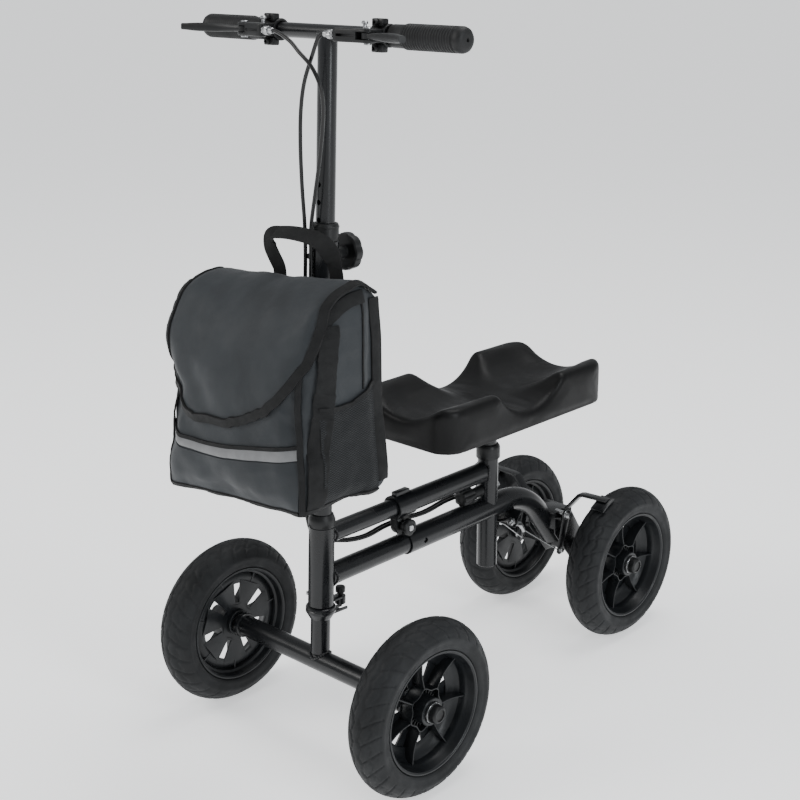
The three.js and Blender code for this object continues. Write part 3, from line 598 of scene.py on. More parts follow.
def axle_part(tube_r, track, flange_r):
    tube_end, shaft_end = track / 2 - 26, track / 2 + 30.4
    half = [(0, shaft_end), (5.2, shaft_end), (6, shaft_end - 1), (6, tube_end + 5), (10, tube_end + 5),
            (10, tube_end + 0.6), (flange_r - 0.6, tube_end), (flange_r, tube_end - 0.8),
            (flange_r, tube_end - 7.2), (flange_r - 0.6, tube_end - 8), (tube_r, tube_end - 8.6)]
    return moved(revolve(half + [(r, -z) for r, z in reversed(half)], 56), Z_TO_X)


# ---------------- rear frame
def arch_line():
    """The lower rear tube's middle line, from where it starts to bend down to the axle."""
    start, radius, angle, straight = 128.0, 110.0, math.radians(52), 66.0
    made = [Vector((0, start - 12, LOWER_Z))]
    for a in spread(0, angle, 24):
        up, along = polar(radius, a)
        made.append(Vector((0, start + along, LOWER_Z - radius + up)))
    return [*made, made[-1] + Vector((0, math.cos(angle), -math.sin(angle))) * straight]


def rear_frame():
    body = "rear_frame"
    lower = bored(moved(pipe(LOWER_R, 15.4, -92, 122), shift(0, 0, LOWER_Z) @ Z_TO_Y),
                  moved(rod(4, 5, 30, 0, 32), shift(0, -64, LOWER_Z) @ Z_TO_X))
    plate = bored(moved(beveled(block(-26, 26, -20, 7, 12, 15), 0.8), stop_frame(0)),
                  *[moved(rod(4.6, 5, 25, 0, 32), stop_frame(s)) for _, s in SIDES])
    arch = swept(resampled(arch_line(), 40), LOWER_R, 56)
    skin("lower_rear_tube", joined(lower, arch, plate), "coat", body)

    upper = joined(pipe(UPPER_R, 13.4, -116, SEAT_Y - 14.6, 0.4), pipe(17.4, 13.5, -116, -80, 1.0),
                   beveled(block(-5, 5, -22.5, -15, -112, -84), 1.0))
    skin("upper_rear_tube", upper, "coat", body, shift(0, 0, UPPER_Z) @ Z_TO_Y)
    bead = weld_bead([shift(0, 0, UPPER_Z) @ Z_TO_AHEAD @ p for p in saddle(UPPER_R, 15.5)])
    skin("seat_tube", joined(pipe(15.5, 13.1, 148, 322, 0.6), bead), "coat", body, shift(0, SEAT_Y, 0))
    bush = revolve([(13, 322.4), (17.6, 322.4), (18, 323), (18, 338.5), (17.2, 341.5), (15.6, 343.6),
                    (13, 344), (13, 322.4)], 56)
    place("seat_bush_skin", bush, "plastic", body, shift(0, SEAT_Y, 0), "seat_tube_bush")
    place("seat_tube_nut", bolt_head((0, SEAT_Y + 15.3, KNOB_Z), (0, 1, 0), 11, 7, False), "steel", body)
    skin("rear_axle", axle_part(12, 218, 13), "coat", body, shift(0, REAR_AXLE_Y, WHEEL_Z))


def rear_bracket():
    x, y, pivot_z = BRAKE_PIVOT
    z = pivot_z + 6
    side = [(y - 9, z - 5), (y + 8, z - 2), (y + 30, z - 9), (REAR_AXLE_Y + 15, WHEEL_Z + 16),
            (REAR_AXLE_Y + 17, WHEEL_Z - 10), (REAR_AXLE_Y + 8, WHEEL_Z - 16),
            (REAR_AXLE_Y - 17, WHEEL_Z - 15), (y - 9, z - 42)]
    top = [(-27, y - 9), (-19, y - 13), (19, y - 13), (27, y - 9), (27, y + 18), (20, y + 30), (-20, y + 30),
           (-27, y + 18)]
    gusset = [(25, y - 11), (x - 3.2, y - 7), (x - 3.2, y + 7), (25, y + 24)]
    parts = [stand_part(side, 24, 27), stand_part(side, -27, -24), beveled(prism(top, z - 8, z - 5), 0.8),
             beveled(block(-27, 27, y - 10, y - 7, z - 34, z - 5), 0.8),
             moved(beveled(prism(gusset, pivot_z - 9, pivot_z - 6), 0.7), mirror(1), mirror(-1))]
    place("rear_bracket_skin", joined(*parts), "coat", "rear_frame", None, "rear_axle_bracket")
    pivot = joined(moved(rod(4, 20, x + 3, 0.3, 24), Z_TO_X), bolt_head((x + 2.2, 0, 0), (1, 0, 0), 13, 7.5))
    for word, s in SIDES:
        place(f"brake_pivot_{word}", pivot, "steel", "rear_frame", shift(0, y, pivot_z) @ mirror(s))


def brake_arms():
    x, y, z = BRAKE_PIVOT
    leg = [(y - 7, z - 6), (y - 20, z - 60), (y - 16, z - 64), (y - 10, z - 63), (y + 8, z - 6),
           (y + 12, z + 8), (y - 2, z + 8), (y - 8, z + 2)]
    bar = [(x - 2, z + 4), (x + 2, z + 4), (x + 2, z + 9), (x + 25, z + 35), (x + 30, z + 37),
           (116, z + 39.5), (116, z + 43.3), (x + 29, z + 41.2), (x + 22, z + 39.6), (x - 2, z + 11)]
    shoe = []
    for a in spread(math.radians(108), math.radians(122.5), 12):
        shoe.append([(w, *(Vector((REAR_AXLE_Y, WHEEL_Z)) + Vector(polar(r, a))))
                     for r, w in ((122.9, 97), (122.9, 121), (126.6, 121), (126.6, 97))])
    slanted = loft([[(bar_x, bar_y, bar_z) for bar_x, bar_z in bar] for bar_y in (y - 2, y + 12)])
    arm = joined(stand_part(leg, x - 2, x + 2), beveled(slanted, 0.7), beveled(loft(shoe), 0.7, 2, 50))
    pinch = bolt_head((x + 2, y - 14, z - 56), (1, 0, 0), 7, 5, False)
    for word, s in SIDES:
        skin("brake_arm", arm, "coat", f"brake_arm_{word}", mirror(s), f"_{word}")
        place(f"brake_arm_pinch_{word}", pinch, "steel", f"brake_arm_{word}", mirror(s))


def cable_stops():
    for word, s in SIDES:
        lay = stop_frame(s)
        nuts = joined(beveled(prism(hexagon(6.6), 4, 9), 0.6), rod(4.2, 0, 20, 0.5, 32),
                      beveled(prism(hexagon(6.2, 0.3), 15.4, 18.4), 0.5))
        end = lay @ Vector((0, 0, STOP_LENGTH + 2))
        bend = catmull([lay @ Vector((0, 0, 17)), lay @ Vector((0, -1, 24)), lay @ Vector((0, -1.5, 30)),
                        end + Vector((s * 1.5, 0.5, -3)), end + Vector((s * 3, 2, -9))], 24)
        guide = swept(bend, lambda t: 3.9 - 1.2 * smooth((t - 0.55) / 0.45), 20)
        skin("cable_stop", joined(moved(nuts, lay), guide), "steel", "rear_frame", None, f"_{word}")


def knob_part(r, waist, lobes, z0, z1, neck_from, neck=None):
    """A lobed grip from z0 to z1 on a round neck that starts at neck_from."""
    levels = [(z0, 0.9), (z0 + 1.6, 0.98), ((z0 + z1) / 2, 1.0), (z1 - 2.4, 0.97), (z1 - 0.8, 0.9),
              (z1, 0.78), (z1 + 0.3, 0.55), (z1 - 0.6, 0.5), (z1 - 0.8, 0.2)]
    rings = []
    for z, k in levels:
        lobe = (r - waist) if k > 0.7 else 0
        rings.append([(*polar((waist + lobe * abs(math.cos(lobes * a / 2)) ** 0.7) * k, a), z)
                      for a in turns(lobes * 12)])
    neck = neck or r * 0.6
    stem = revolve([(0, neck_from), (neck - 0.8, neck_from), (neck, neck_from + 0.8), (neck, z0 - 1),
                    (neck * 1.25, z0 + 1), (0, z0 + 1)], 40)
    return joined(loft(rings), stem)


def frame_clamp():
    y, r = -100, 13.7
    round_end = [polar(r, -a) for a in spread(0, math.pi, 24)]
    ear = [(y + 15, 293.5)] + [(y + back, KNOB_Z + up) for back, up in round_end] + [(y - 15, 293.5)]
    jaw = bored(stand_part(ear, -6, 6, 1.2),
                moved(rod(17.7, y - 30, y + 30, 0, 64), shift(0, 0, UPPER_Z) @ Z_TO_Y))
    skin("frame_clamp", jaw, "plastic", "rear_frame")
    at, body = shift(0, y, KNOB_Z) @ Z_TO_X, "frame_clamp_knob"
    place("frame_knob_skin", knob_part(13, 11.2, 6, 12.6, 22, 6.5), "plastic", body, at, body)
    place("frame_knob_bolt", rod(4.6, 20, 23.4, 0.8, 24), "steel", body, at)
    place("frame_collar_bolt", bolt_head((4.6, -108, 283), (1, 0, 0), 6, 4), "steel", "rear_frame")


# ---------------- seat and knee pad
def rounded(half_x, half_y, r, steps):
    made = []
    for q, (sx, sy) in enumerate(((1, 1), (-1, 1), (-1, -1), (1, -1))):
        for a in spread(q * math.pi / 2, (q + 1) * math.pi / 2, steps):
            made.append((sx * (half_x - r) + r * math.cos(a), sy * (half_y - r) + r * math.sin(a)))
    return made


def seat():
    body = "seat_height_knob"
    place("seat_knob_skin", knob_part(13.2, 11.2, 8, 40, 64, 16, 8), "plastic", body,
          shift(0, SEAT_Y, KNOB_Z) @ Z_TO_AHEAD, body)
    skin("seat_post", pipe(12.7, 10.7, 190, 384.6), "coat", "seat", shift(0, SEAT_Y, 0))
    under, top = 385.2, 390.6
    plate = moved(beveled(prism(rounded(55, 95, 12, 6), under, top), 0.8), shift(0, PAD_Y, 0))
    cone = revolve([(12.8, 379.8), (14.5, 380), (19, 384), (19, 385.4), (12.8, 385.4), (12.8, 379.8)], 48)
    skin("seat_plate", joined(plate, moved(cone, shift(0, SEAT_Y, 0))), "coat", "seat")
    bolts = [bolt_head((x, PAD_Y + y, under), (0, 0, -1), 9, 4.5, False)
             for x in (42, -42) for y in (80, -80)]
    place("seat_plate_bolts", joined(*bolts), "steel", "seat")


def soft_min(a, b, k):
    h = max(k - abs(a - b), 0) / k
    return min(a, b) - h * h * k / 4


PAD_HALF_X, PAD_HALF_Y, PAD_CORNER, PAD_RIM = 90, 182, 34, 11


def pad_top(x, y):
    """The pad's upper face about its middle: a channel along it, a valley across, rounded at the rim."""
    channel_r, valley_r = 95, 85
    rise = 7 * smooth((abs(y) - 120) / 60)
    channel = 423 + rise + channel_r - math.sqrt(channel_r ** 2 - min(abs(x), 94.0) ** 2)
    valley = 417 + valley_r - math.sqrt(valley_r ** 2 - min(abs(y), 84.0) ** 2)
    away = Vector((max(abs(x) - PAD_HALF_X + PAD_CORNER, 0), max(abs(y) - PAD_HALF_Y + PAD_CORNER, 0))).length
    inside = PAD_CORNER - away if away > 0 else min(PAD_HALF_X - abs(x), PAD_HALF_Y - abs(y))
    rim = max(PAD_RIM - max(inside, 0), 0)
    return soft_min(soft_min(channel, valley, 10), 455.5, 10) - PAD_RIM + math.sqrt(PAD_RIM ** 2 - rim * rim)


def pad():
    top = []
    for v in spread(-1, 1, 120):
        y = PAD_HALF_Y * math.sin(math.pi / 2 * v * 0.999)
        over = max(abs(y) - PAD_HALF_Y + PAD_CORNER, 0)
        half = PAD_HALF_X - PAD_CORNER + math.sqrt(max(PAD_CORNER ** 2 - over ** 2, 0))
        xs = [half * math.sin(math.pi / 2 * u) for u in spread(-1, 1, 60)]
        top.append([(x, y + PAD_Y, pad_top(x, y)) for x in xs])
    flat = [[(x, y, PAD_Z) for x, y, _ in row] for row in top]
    obj = place("knee_pad", panel(top, flat), "vinyl", None, sharp=0)
    puff(obj, voxel=3.0, pressure=2.0, cap=2.0, keep=lambda p: 0 if p.z < (PAD_Z + 8) * MM else 1,
         frames=12, relax=2)
    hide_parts("seat_pad")
    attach(obj, "seat")


def puff(obj, voxel, pressure, cap, keep, frames, relax):
    """Remeshes a closed soft piece, swells it with a short cloth run, and smooths it.
    keep says how much of the move a point takes, from 0 to 1."""
    remesh = obj.modifiers.new("remesh", "REMESH")
    remesh.mode, remesh.voxel_size = "VOXEL", voxel * MM
    bake(obj)
    rest = [v.co.copy() for v in obj.data.vertices]
    scene = bpy.context.scene
    cloth = obj.modifiers.new("cloth", "CLOTH")
    s = cloth.settings
    s.use_pressure, s.uniform_pressure_force = True, pressure
    s.effector_weights.gravity = 0
    s.quality = 5
    s.tension_stiffness = s.compression_stiffness = 15
    cloth.point_cache.frame_start, cloth.point_cache.frame_end = 1, frames
    for f in range(1, frames + 1):
        scene.frame_set(f)
    bake(obj)
    scene.frame_set(1)
    for v, p in zip(obj.data.vertices, rest):
        step = v.co - p
        if step.length > cap * MM:
            step = step.normalized() * cap * MM
        v.co = p + step * keep(p)
    soft = obj.modifiers.new("soft", "SMOOTH")
    soft.iterations, soft.factor = relax, 0.5
    fine = obj.modifiers.new("fine", "SUBSURF")
    fine.levels = fine.render_levels = 1
    bake(obj)
    obj.data.shade_smooth()


def bake(obj):
    """Applies the modifiers to the mesh."""
    mesh, materials = evaluated(obj), list(obj.data.materials)
    obj.modifiers.clear()
    obj.data = mesh
    mesh.materials.clear()
    for m in materials:
        mesh.materials.append(m)


# ---------------- front frame and steering
def front_frame():
    body, lean = "front_frame", math.tan(RAKE)
    beads = []
    for name, z, r, weld_r in (("upper", UPPER_Z, 13, 13.2), ("lower", LOWER_Z, 15, 15.2)):
        y = FRONT_AXLE_Y + (z - WHEEL_Z) * lean  # the head tube's axis at this height
        beads.append(weld_bead([Vector((p.x, y + p.z, z + p.y)) for p in saddle(weld_r, 17.6)], 1.8))
        skin(f"{name}_front_tube", pipe(r, r - 2, y + 12, -30), "coat", body, shift(0, 0, z) @ Z_TO_Y)
    shell = joined(pipe(17.5, 14.1, 83, 197, 0.8), beveled(block(-7, 7, 14, 37, 83, 86), 0.7),
                   moved(pipe(7.5, 3.4, 74, 86, 0.6, 40), shift(0, 37, 0)))
    skin("head_tube", joined(moved(shell, STEER), *beads), "coat", body)
    place("head_tube_screw", bolt_head(steer(-13.9, -10.3, 98), (-0.8, -0.6, 0), 5, 3), "steel", body)
    pin = revolve([(0, 70.4), (2.6, 70.4), (3, 71.2), (3, 90.5), (6.2, 90.5), (6.8, 91.4), (6.6, 93),
                   (6.9, 94.6), (6.7, 96), (6.9, 97.4), (6.2, 98.8), (4.6, 99.2), (0, 99.2)], 32)
    place("lock_pin_skin", pin, "plastic", "steering_lock_pin", STEER @ shift(0, 37, 0), "steering_lock_pin")


def steering():
    body = "steering"
    bead = weld_bead([steer(p.x, p.y, p.z + 0.2) for p in saddle(13.6, 15.1)], 2.2)
    skin("fork_column", joined(moved(pipe(COLUMN_R, 11.5, 13, 343), STEER), bead), "coat", body)
    skin("front_axle", axle_part(15, 377, 18), "coat", body, shift(0, FRONT_AXLE_Y, WHEEL_Z))
    ring = revolve([(13.8, 64.4), (15, 64.4), (16, 66), (19.6, 72.4), (20.6, 74), (20.6, 77.2), (19.9, 78),
                    (19.9, 78.8), (20.6, 79.4), (20, 81.6), (18.4, 82.6), (13.8, 82.6), (13.8, 64.4)], 64)
    notched = [(-7, 15), (7, 15), (7, 45), (4, 45), (4, 32.6), (-4, 32.6), (-4, 45), (-7, 45)]
    lug = beveled(prism(notched, 65, 69), 0.6)
    place("lower_ring_skin", joined(ring, lug), "coat", body, STEER, "lower_bearing_ring")
    upper = revolve([(13.8, 197.3), (17.6, 197.3), (18.3, 198.2), (18.3, 207.5), (17.4, 210), (15.6, 214.5),
                     (14.6, 215), (13.8, 215), (13.8, 197.3)], 64)
    place("upper_ring_skin", upper, "plastic", body, STEER, "upper_bearing_ring")


def fold_joint():
    b, u = FOLD_BACK, FOLD_UP
    pin_at, lever_at = shift(0, b, u) @ Z_TO_X, shift(0, -1, u - 20) @ Z_TO_X
    ear = [(4, u - 34), (b + 5, u - 20), (b + 9, u - 11), (b + 9, u + 3), (b + 5, u + 6), (b - 8, u + 8),
           (4, u - 8)]
    lower = joined(pipe(19, 13.8, u - 34, u - 12, 1.0), stand_part(ear, 14.6, 19),
                   stand_part(ear, -19, -14.6), moved(rod(4, -19, 19, 0.3, 24), pin_at))
    place("fold_lower_skin", lower, "coat", "steering", STEER, "fold_bracket_lower")
    heads = joined(bolt_head((19, b, u), (1, 0, 0), 12, 5), bolt_head((-19, b, u), (-1, 0, 0), 12, 5, False),
                   moved(rod(3, 18, 26.4, 0.2, 20), lever_at),
                   bolt_head((26.1, -1, u - 20), (1, 0, 0), 9, 3.2))
    place("fold_pin_heads", heads, "steel", "steering", STEER)
    tongue = [(2, u + 8), (b - 8, u - 2), (b - 3, u - 7), (b + 3, u - 7), (b + 8, u - 2), (b + 6, u + 8),
              (8, u + 30)]
    upper = bored(stand_part(tongue, -14, 14), moved(rod(4.3, -30, 30, 0, 24), pin_at),
                  rod(16.8, u - 20, u + 60, 0, 64))
    place("fold_upper_skin", joined(pipe(19, 16.8, u + 10, u + 30, 0.8), upper), "coat", "column", STEER,
          "fold_bracket_upper")
    lever = [(-8, u - 15), (-11, u - 40), (-11, u - 78), (-7, u - 83), (-1, u - 82), (3, u - 60), (8, u - 22),
             (5, u - 13), (-3, u - 11)]
    handle = bored(stand_part(lever, 20, 26, 1.4), moved(rod(3.3, 10, 40, 0, 24), lever_at))
    skin("fold_lever", handle, "plastic", "fold_lever", STEER)


def column():
    slit = beveled(block(-1.2, 1.2, 10, 25, 530, 590), 0.01, 1)
    clip = bored(beveled(block(-19, 1, -25.5, -10.5, CLIP_UP - 4, CLIP_UP + 4), 1.0),
                 *[moved(rod(2.9, 500, 560, 0, 20), shift(-9 - s * 5, CABLE_BACK, 0)) for _, s in SIDES])
    tube = joined(pipe(16.5, 12.8, 346.6, 582, 0.6), bored(pipe(17.7, 16.2, 537, 582, 0.7), slit), clip)
    skin("outer_column", tube, "coat", "column", STEER)
    collar = revolve([(12.7, 582.4), (16.6, 582.4), (17.4, 583.2), (17.4, 600.5), (16.9, 603), (15.8, 604.6),
                      (14.2, 605), (12.9, 604.6), (12.7, 603.5), (12.7, 582.4)], 64)
    skin("height_collar", joined(collar, pipe(17.9, 17, 598.6, 601.2, 0.4)), "plastic", "column", STEER)
    place("column_bolt", bolt_head((-15.8, -7.4, 560), (-0.9, -0.43, 0), 8, 6), "dark", "column", STEER)
    knob = joined(knob_part(25, 23.4, 8, 32, 47, 17.6, 9), rod(7.5, 46, 48.4, 1.0, 40))
    skin("height_knob", knob, "plastic", "height_knob", STEER @ shift(0, 0, 564) @ Z_TO_Y)


# ---------------- handlebar
def handlebar():
    body, bar_r = "handlebar", 9.3
    holes = [moved(rod(3.4, 5, 20, 0, 28), shift(0, 0, 520 + 22.2 * k) @ Z_TO_AHEAD) for k in range(8)]
    stem = bored(pipe(12.4, 10.4, 505, BAR_UP - 4, 0.4), *holes)
    bar = moved(pipe(bar_r, 7.3, -222, 222, 0.4), shift(0, 0, BAR_UP) @ Z_TO_X)
    line = [Vector((p.x, p.y, BAR_UP - max(math.sqrt(max(bar_r ** 2 - p.y ** 2, 0)), 1)))
            for p in saddle(12.4, 12.5)]
    skin("handlebar", joined(stem, bar, weld_bead(line)), "coat", body, STEER)
    profile = [(9.6, 112), (12.6, 112), (13.6, 113), (13.8, 130), (14.4, 132.5), (14.6, 134)]
    for x in (134.5 + 4.1 * k for k in range(19)):
        profile += [(14.3, x), (15.2, x + 0.9), (15.3, x + 2.2), (14.3, x + 3.1)]
    profile += [(14.6, 213.5), (15.3, 214.5), (15.2, 219), (14.0, 222.6), (11.4, 225.2), (7.5, 226),
                (2.6, 226), (2.2, 225.4), (1.8, 223.2), (0, 223)]
    grip = moved(revolve(profile, 56), Z_TO_X)
    for word, s in SIDES:
        at = STEER @ shift(0, 0, BAR_UP) @ mirror(s)
        skin("grip", grip, "rubber", body, at, f"_{word}", 50)
        lever_bracket(word, at)


def lever_bracket(word, at):
    x, out, ahead, body = LEVER_X, LEVER_OUT, LEVER_AHEAD, "handlebar"
    band = moved(pipe(13.8, 9.6, x - 12, x + 12, 1.0, 48), Z_TO_X)
    lugs = [beveled(block(x - 9, x + 9, -12, -1, z0, z1), 1.5) for z0, z1 in ((10, 19.5), (-19.5, -10))]
    outline = [(x - 10, -9), (x + 10, -9), (x + 13, -24), (x + out + 8, -ahead + 4),
               (x + out + 8, -ahead - 5), (x + out + 2, -ahead - 9), (x - 6, -ahead - 10),
               (x - 24, -ahead - 14), (x - 32, -ahead - 14), (x - 32, -ahead - 4), (x - 16, -ahead + 4),
               (x - 11, -ahead + 14)]
    arm = bored(beveled(prism(outline, -8, 8), 1.8, 3),
                block(x + out - 11, x + out + 30, -ahead - 30, -ahead + 10, -4.4, 4.4),
                block(x - 26, x, -ahead - 30, -ahead - 9, -1.6, 1.6))
    skin("lever_bracket", joined(band, *lugs, arm), "plastic", body, at, f"_{word}")
    bolts = joined(*[bolt_head((x, -11.5, z), (0, -1, 0), 7.5, 5.5) for z in (14.8, -14.8)])
    place(f"lever_bolts_{word}", bolts, "dark", body, at)
    pivot = joined(rod(2.8, -8.8, 9, 0.3, 24), rod(4.6, 8, 10.2, 0.6, 28), rod(4.6, -10.2, -8, 0.6, 28))
    pin = revolve([(0, 7), (2.3, 7), (2.3, 12.5), (4, 13.3), (4, 15.2), (2.6, 16.6), (0, 16.6)], 28)
    knurl = [polar(5.6 if k % 2 else 5.1, a) for k, a in enumerate(turns(40))]
    barrel = joined(beveled(prism(knurl, x - 43, x - 36), 0.25, 1, 60), rod(3.6, x - 50, x - 30, 0.6, 28),
                    beveled(prism(hexagon(5.4), x - 35.4, x - 33), 0.4))
    steel = joined(moved(pivot, shift(x + out, -ahead, 0)), moved(pin, shift(x - 6, -26, 0)),
                   moved(barrel, shift(0, -ahead - 9, 0) @ Z_TO_X))
    place(f"lever_steel_{word}", steel, "steel", body, at)
    skin("brake_lever", lever_part(), "plastic", f"brake_lever_{word}", at @ shift(x + out, -ahead, 0),
         f"_{word}")


def lever_part():
    """The lever from its pivot: a boss, a curved blade and a ball at the end."""
    line = catmull([(-2, 0, 0), (10, -1.5, 0), (24, -5, 0), (44, -12, 0), (62, -20.5, 0), (76, -27.5, 0),
                    (84, -31.5, 0)], 28)
    points, axes = frames_along(line)
    up, rings = Vector((0, 0, 1)), []
    for i, (p, (tangent, _, _)) in enumerate(zip(points, axes)):
        t = i / (len(points) - 1)
        wide = 6.5 - 2.2 * smooth(t / 0.5) + 0.6 * smooth((t - 0.8) / 0.2)
        high = 3.9 + 1.4 * smooth((t - 0.15) / 0.4) - 1.2 * smooth((t - 0.75) / 0.25)
        side, ring = up.cross(tangent).normalized(), []
        for a in turns(12, 0.5):
            c, s = (math.copysign(abs(v) ** 0.6, v) for v in polar(1, a))
            ring.append(p + side * (c * wide * 0.9) + up * (s * high))
        rings.append(ring)
    return joined(loft(rings), rod(7.6, -4, 4, 0.8, 36))


# ---------------- cables
# Each loop from its lever to the clip, and the lower end from the seat tube to its stop.
LOOPS = {"left": [(36, -49.3, 834), (22, -47, 811), (3.6, -42, 779), (-6, -38, 748), (-11, -34, 708),
                  (-15, -27, 653), (-14.5, -22, 600)],
         "right": [(-11, -52, 827), (6.6, -54, 815.5), (27, -52, 799), (38, -48, 777), (37, -42, 756),
                   (30, -36, 724), (19, -30, 684), (7.7, -26, 642), (-2.5, -22.5, 600)]}
LAST_BENDS = {"left": [(-20.5, SEAT_Y + 11, 236), (-14, SEAT_Y + 18, 217), (3, SEAT_Y + 20, 214)],
              "right": [(-25.5, SEAT_Y + 12, 240), (-24, SEAT_Y + 19, 227)]}


def cable_lines(word, s):
    """A cable's route from its lever to its stop, as in the CAD, and its bare wire."""
    ahead, back, in_clip = -LEVER_AHEAD - 9, CABLE_BACK, -9 - s * 5
    upper = [steer(s * (LEVER_X - 43), ahead, BAR_UP), steer(s * (LEVER_X - 53), ahead, BAR_UP)]
    upper += [steer(*p) for p in LOOPS[word]] + [steer(in_clip, back, 565), steer(in_clip, back, CLIP_UP)]
    lower = [steer(in_clip, back, CLIP_UP), steer(in_clip, back, 480), steer(-s * 4.5 - 9, back - 2, 410),
             steer(-s * 3.2 - 9, back - 3, 340)]
    for degrees, up in ((-130, 270), (-172, 212)):  # round the head tube
        lower.append(steer(*polar(24.5, math.radians(degrees - s * 8)), up))
    beside = 5.6 if s < 0 else 0  # the right cable runs beside the left one
    lower.append((-20 - beside, FRONT_AXLE_Y + 26 - beside, 290))
    lower += [(x - beside, y, z) for x, y, z in (
        (-12, -200, 275), (-6, -165, 271), (-13, -116, 270), (-13, -84, 270), (-8, -40, 269), (-17, 20, 268),
        (-18, 56, 266), (-20, SEAT_Y, 258))]
    stop = [stop_frame(s) @ Vector((0, 0, d)) for d in (-5, 1, 7, STOP_LENGTH)]
    lower += LAST_BENDS[word] + stop[:3]
    wire = [stop[3] + Vector((s * 2, 1, -5)),
            Vector((s * (BRAKE_PIVOT.x - 3.5), BRAKE_PIVOT.y - 15, BRAKE_PIVOT.z - 57))]
    return catmull(upper, 90), catmull(lower, 240), wire


def cables():
    """Each cable is four lengths, each running across one joint."""
    for word, s in SIDES:
        upper, lower, wire = cable_lines(word, s)
        first = next(i for i, p in enumerate(lower) if p.z < 400)
        second = next(i for i, p in enumerate(lower) if p.y > -200)
        cuts = [("upper", "upper", upper, "handlebar", "column", upper[8], upper[-8]),
                ("middle", "lower", lower[:first + 1], "column", "steering", steer(0, CABLE_BACK, 375),
                 steer(0, CABLE_BACK, 315)),
                ("head", "lower", lower[first:second + 1], "steering", "front_frame", steer(0, -10, 262),
                 Vector((-14, -215, 278))),
                ("rear", "lower", lower[second:], "front_frame", "rear_frame", Vector((-10, -190, 272)),
                 Vector((-10, -120, 270)))]
        for name, half, line, a, b, start, end in cuts:
            obj = place(f"cable_{name}_{word}", swept(line, CABLE_R, 16), "cable", None, None,
                        f"brake_cable_{half}_{word}")
            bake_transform(obj)
        place(f"brake_wire_{word}", swept(resampled(wire, 6), 0.9, 10), "steel", "rear_frame")


# ---------------- bag
BAG_HALF, BAG_REACH = 126.0, 127.0  # to the body's ends, and to the piping
# The bag's outline (y, z) at its left end, from the lower rear corner forward and back over the top.
BAG_PROFILE = [(-262, 430), (-264, 419), (-274, 411), (-300, 408), (-350, 405), (-396, 404.5), (-404, 409),
               (-402.5, 445), (-397, 488), (-391, 541), (-385.5, 582), (-378, 613), (-366, 636), (-352, 660),
               (-338, 670), (-321, 676), (-300, 679), (-283, 668), (-271, 660), (-266, 651), (-264.7, 588),
               (-263.7, 524), (-262, 471)]
FLAP_EDGE = [(-127, 545), (-115, 525), (-96, 514), (-70, 506), (-37, 505.5), (0, 508.5), (23, 514),
             (47.6, 524), (70.6, 535), (90, 550), (105, 567), (116, 586), (124, 606), (127, 624)]
# Heights of the strip along x, of a side pocket's mouth along y, and the side patch's y along z; below the
# patch the dark band runs on as a painted shadow.
BAND = [(-127, 467), (-107, 463), (-90, 457.5), (-45, 459.5), (0, 464), (70, 475), (127, 485)]
POCKET = [(-398, 541), (-370, 536.5), (-347, 534), (-323, 535), (-299, 543), (-280, 552)]
PATCH_AND_SHADOW = [(414, -383), (480, -377), (536, -368), (636, -353)]


def drop(x):
    """The bag hangs 22 mm lower at its right end."""
    return -11.0 * (1 - x / BAG_REACH)


def bag_at(x, y, z):
    """A place on the outline, carried along the bag, which is fuller at its middle."""
    middle = 1 - min(abs(x) / BAG_REACH, 1) ** 2
    front = min(max((-270 - y) / 120, 0), 1)
    right = max(-x / BAG_REACH, 0) * front
    full = 10 * middle * front * smooth((z - 415) / 60) * (1 - smooth((z - 590) / 70))
    full += 15 * right * smooth((z - 540) / 70)
    shoulder = 6 * right * smooth((z - 600) / 40)
    behind = -277 + (z - 404) * 0.047  # clear of the column
    if y > behind:
        y += (behind - y) * (1 - smooth((abs(x) - 40) / 30))
    return Vector((x, y - full - shoulder, z + drop(x) + 0.7 * shoulder))


def bag_body():
    outline = resampled([(y, z, 0) for y, z in BAG_PROFILE + BAG_PROFILE[:1]], 110)[:-1]
    centre = Vector((-330, 540, 0))
    ends = [(1.0, 0.94), (0.99, 0.975), (0.97, 0.992), (0.93, 1.0)]
    rows = [(-share, k) for share, k in ends] + [(t / 5, 1.0) for t in range(-4, 5)] + ends[::-1]
    rings = []
    for share, shrink in rows:
        ring = []
        for p in outline:
            away = p - centre
            q = centre + away * (1 - (1 - shrink) * 60 / max(away.length, 1))
            low = 9 * smooth((q.x + 330) / 40) * (1 - smooth((q.y - 440) / 90))
            ring.append(bag_at(share * (BAG_HALF + low * abs(share) ** 3), q.x, q.y))
        rings.append(ring)
    return loft(rings)


def crumple(obj, depth, size, keep):
    """Soft folds, from fixed noise."""
    moves = []
    for v in obj.data.vertices:
        p = v.co / (size * MM)
        fold = noise.noise(Vector((p.x + p.z * 0.6, p.y, p.z * 0.55)))
        sharp = 0.35 - abs(noise.noise(Vector((p.x * 0.8 - p.z * 0.7, p.y * 0.8, p.z * 0.9 + 7))))
        moves.append(v.normal * ((fold + 0.9 * max(sharp, 0)) * depth * MM * keep(v.co)))
    for v, move in zip(obj.data.vertices, moves):
        v.co += move


def through(pairs, at):
    """A line through (place, value) pairs."""
    for (a, u), (b, v) in zip(pairs, pairs[1:]):
        if at <= b:
            return u + (v - u) * max((at - a) / (b - a), 0)
    return pairs[-1][1]


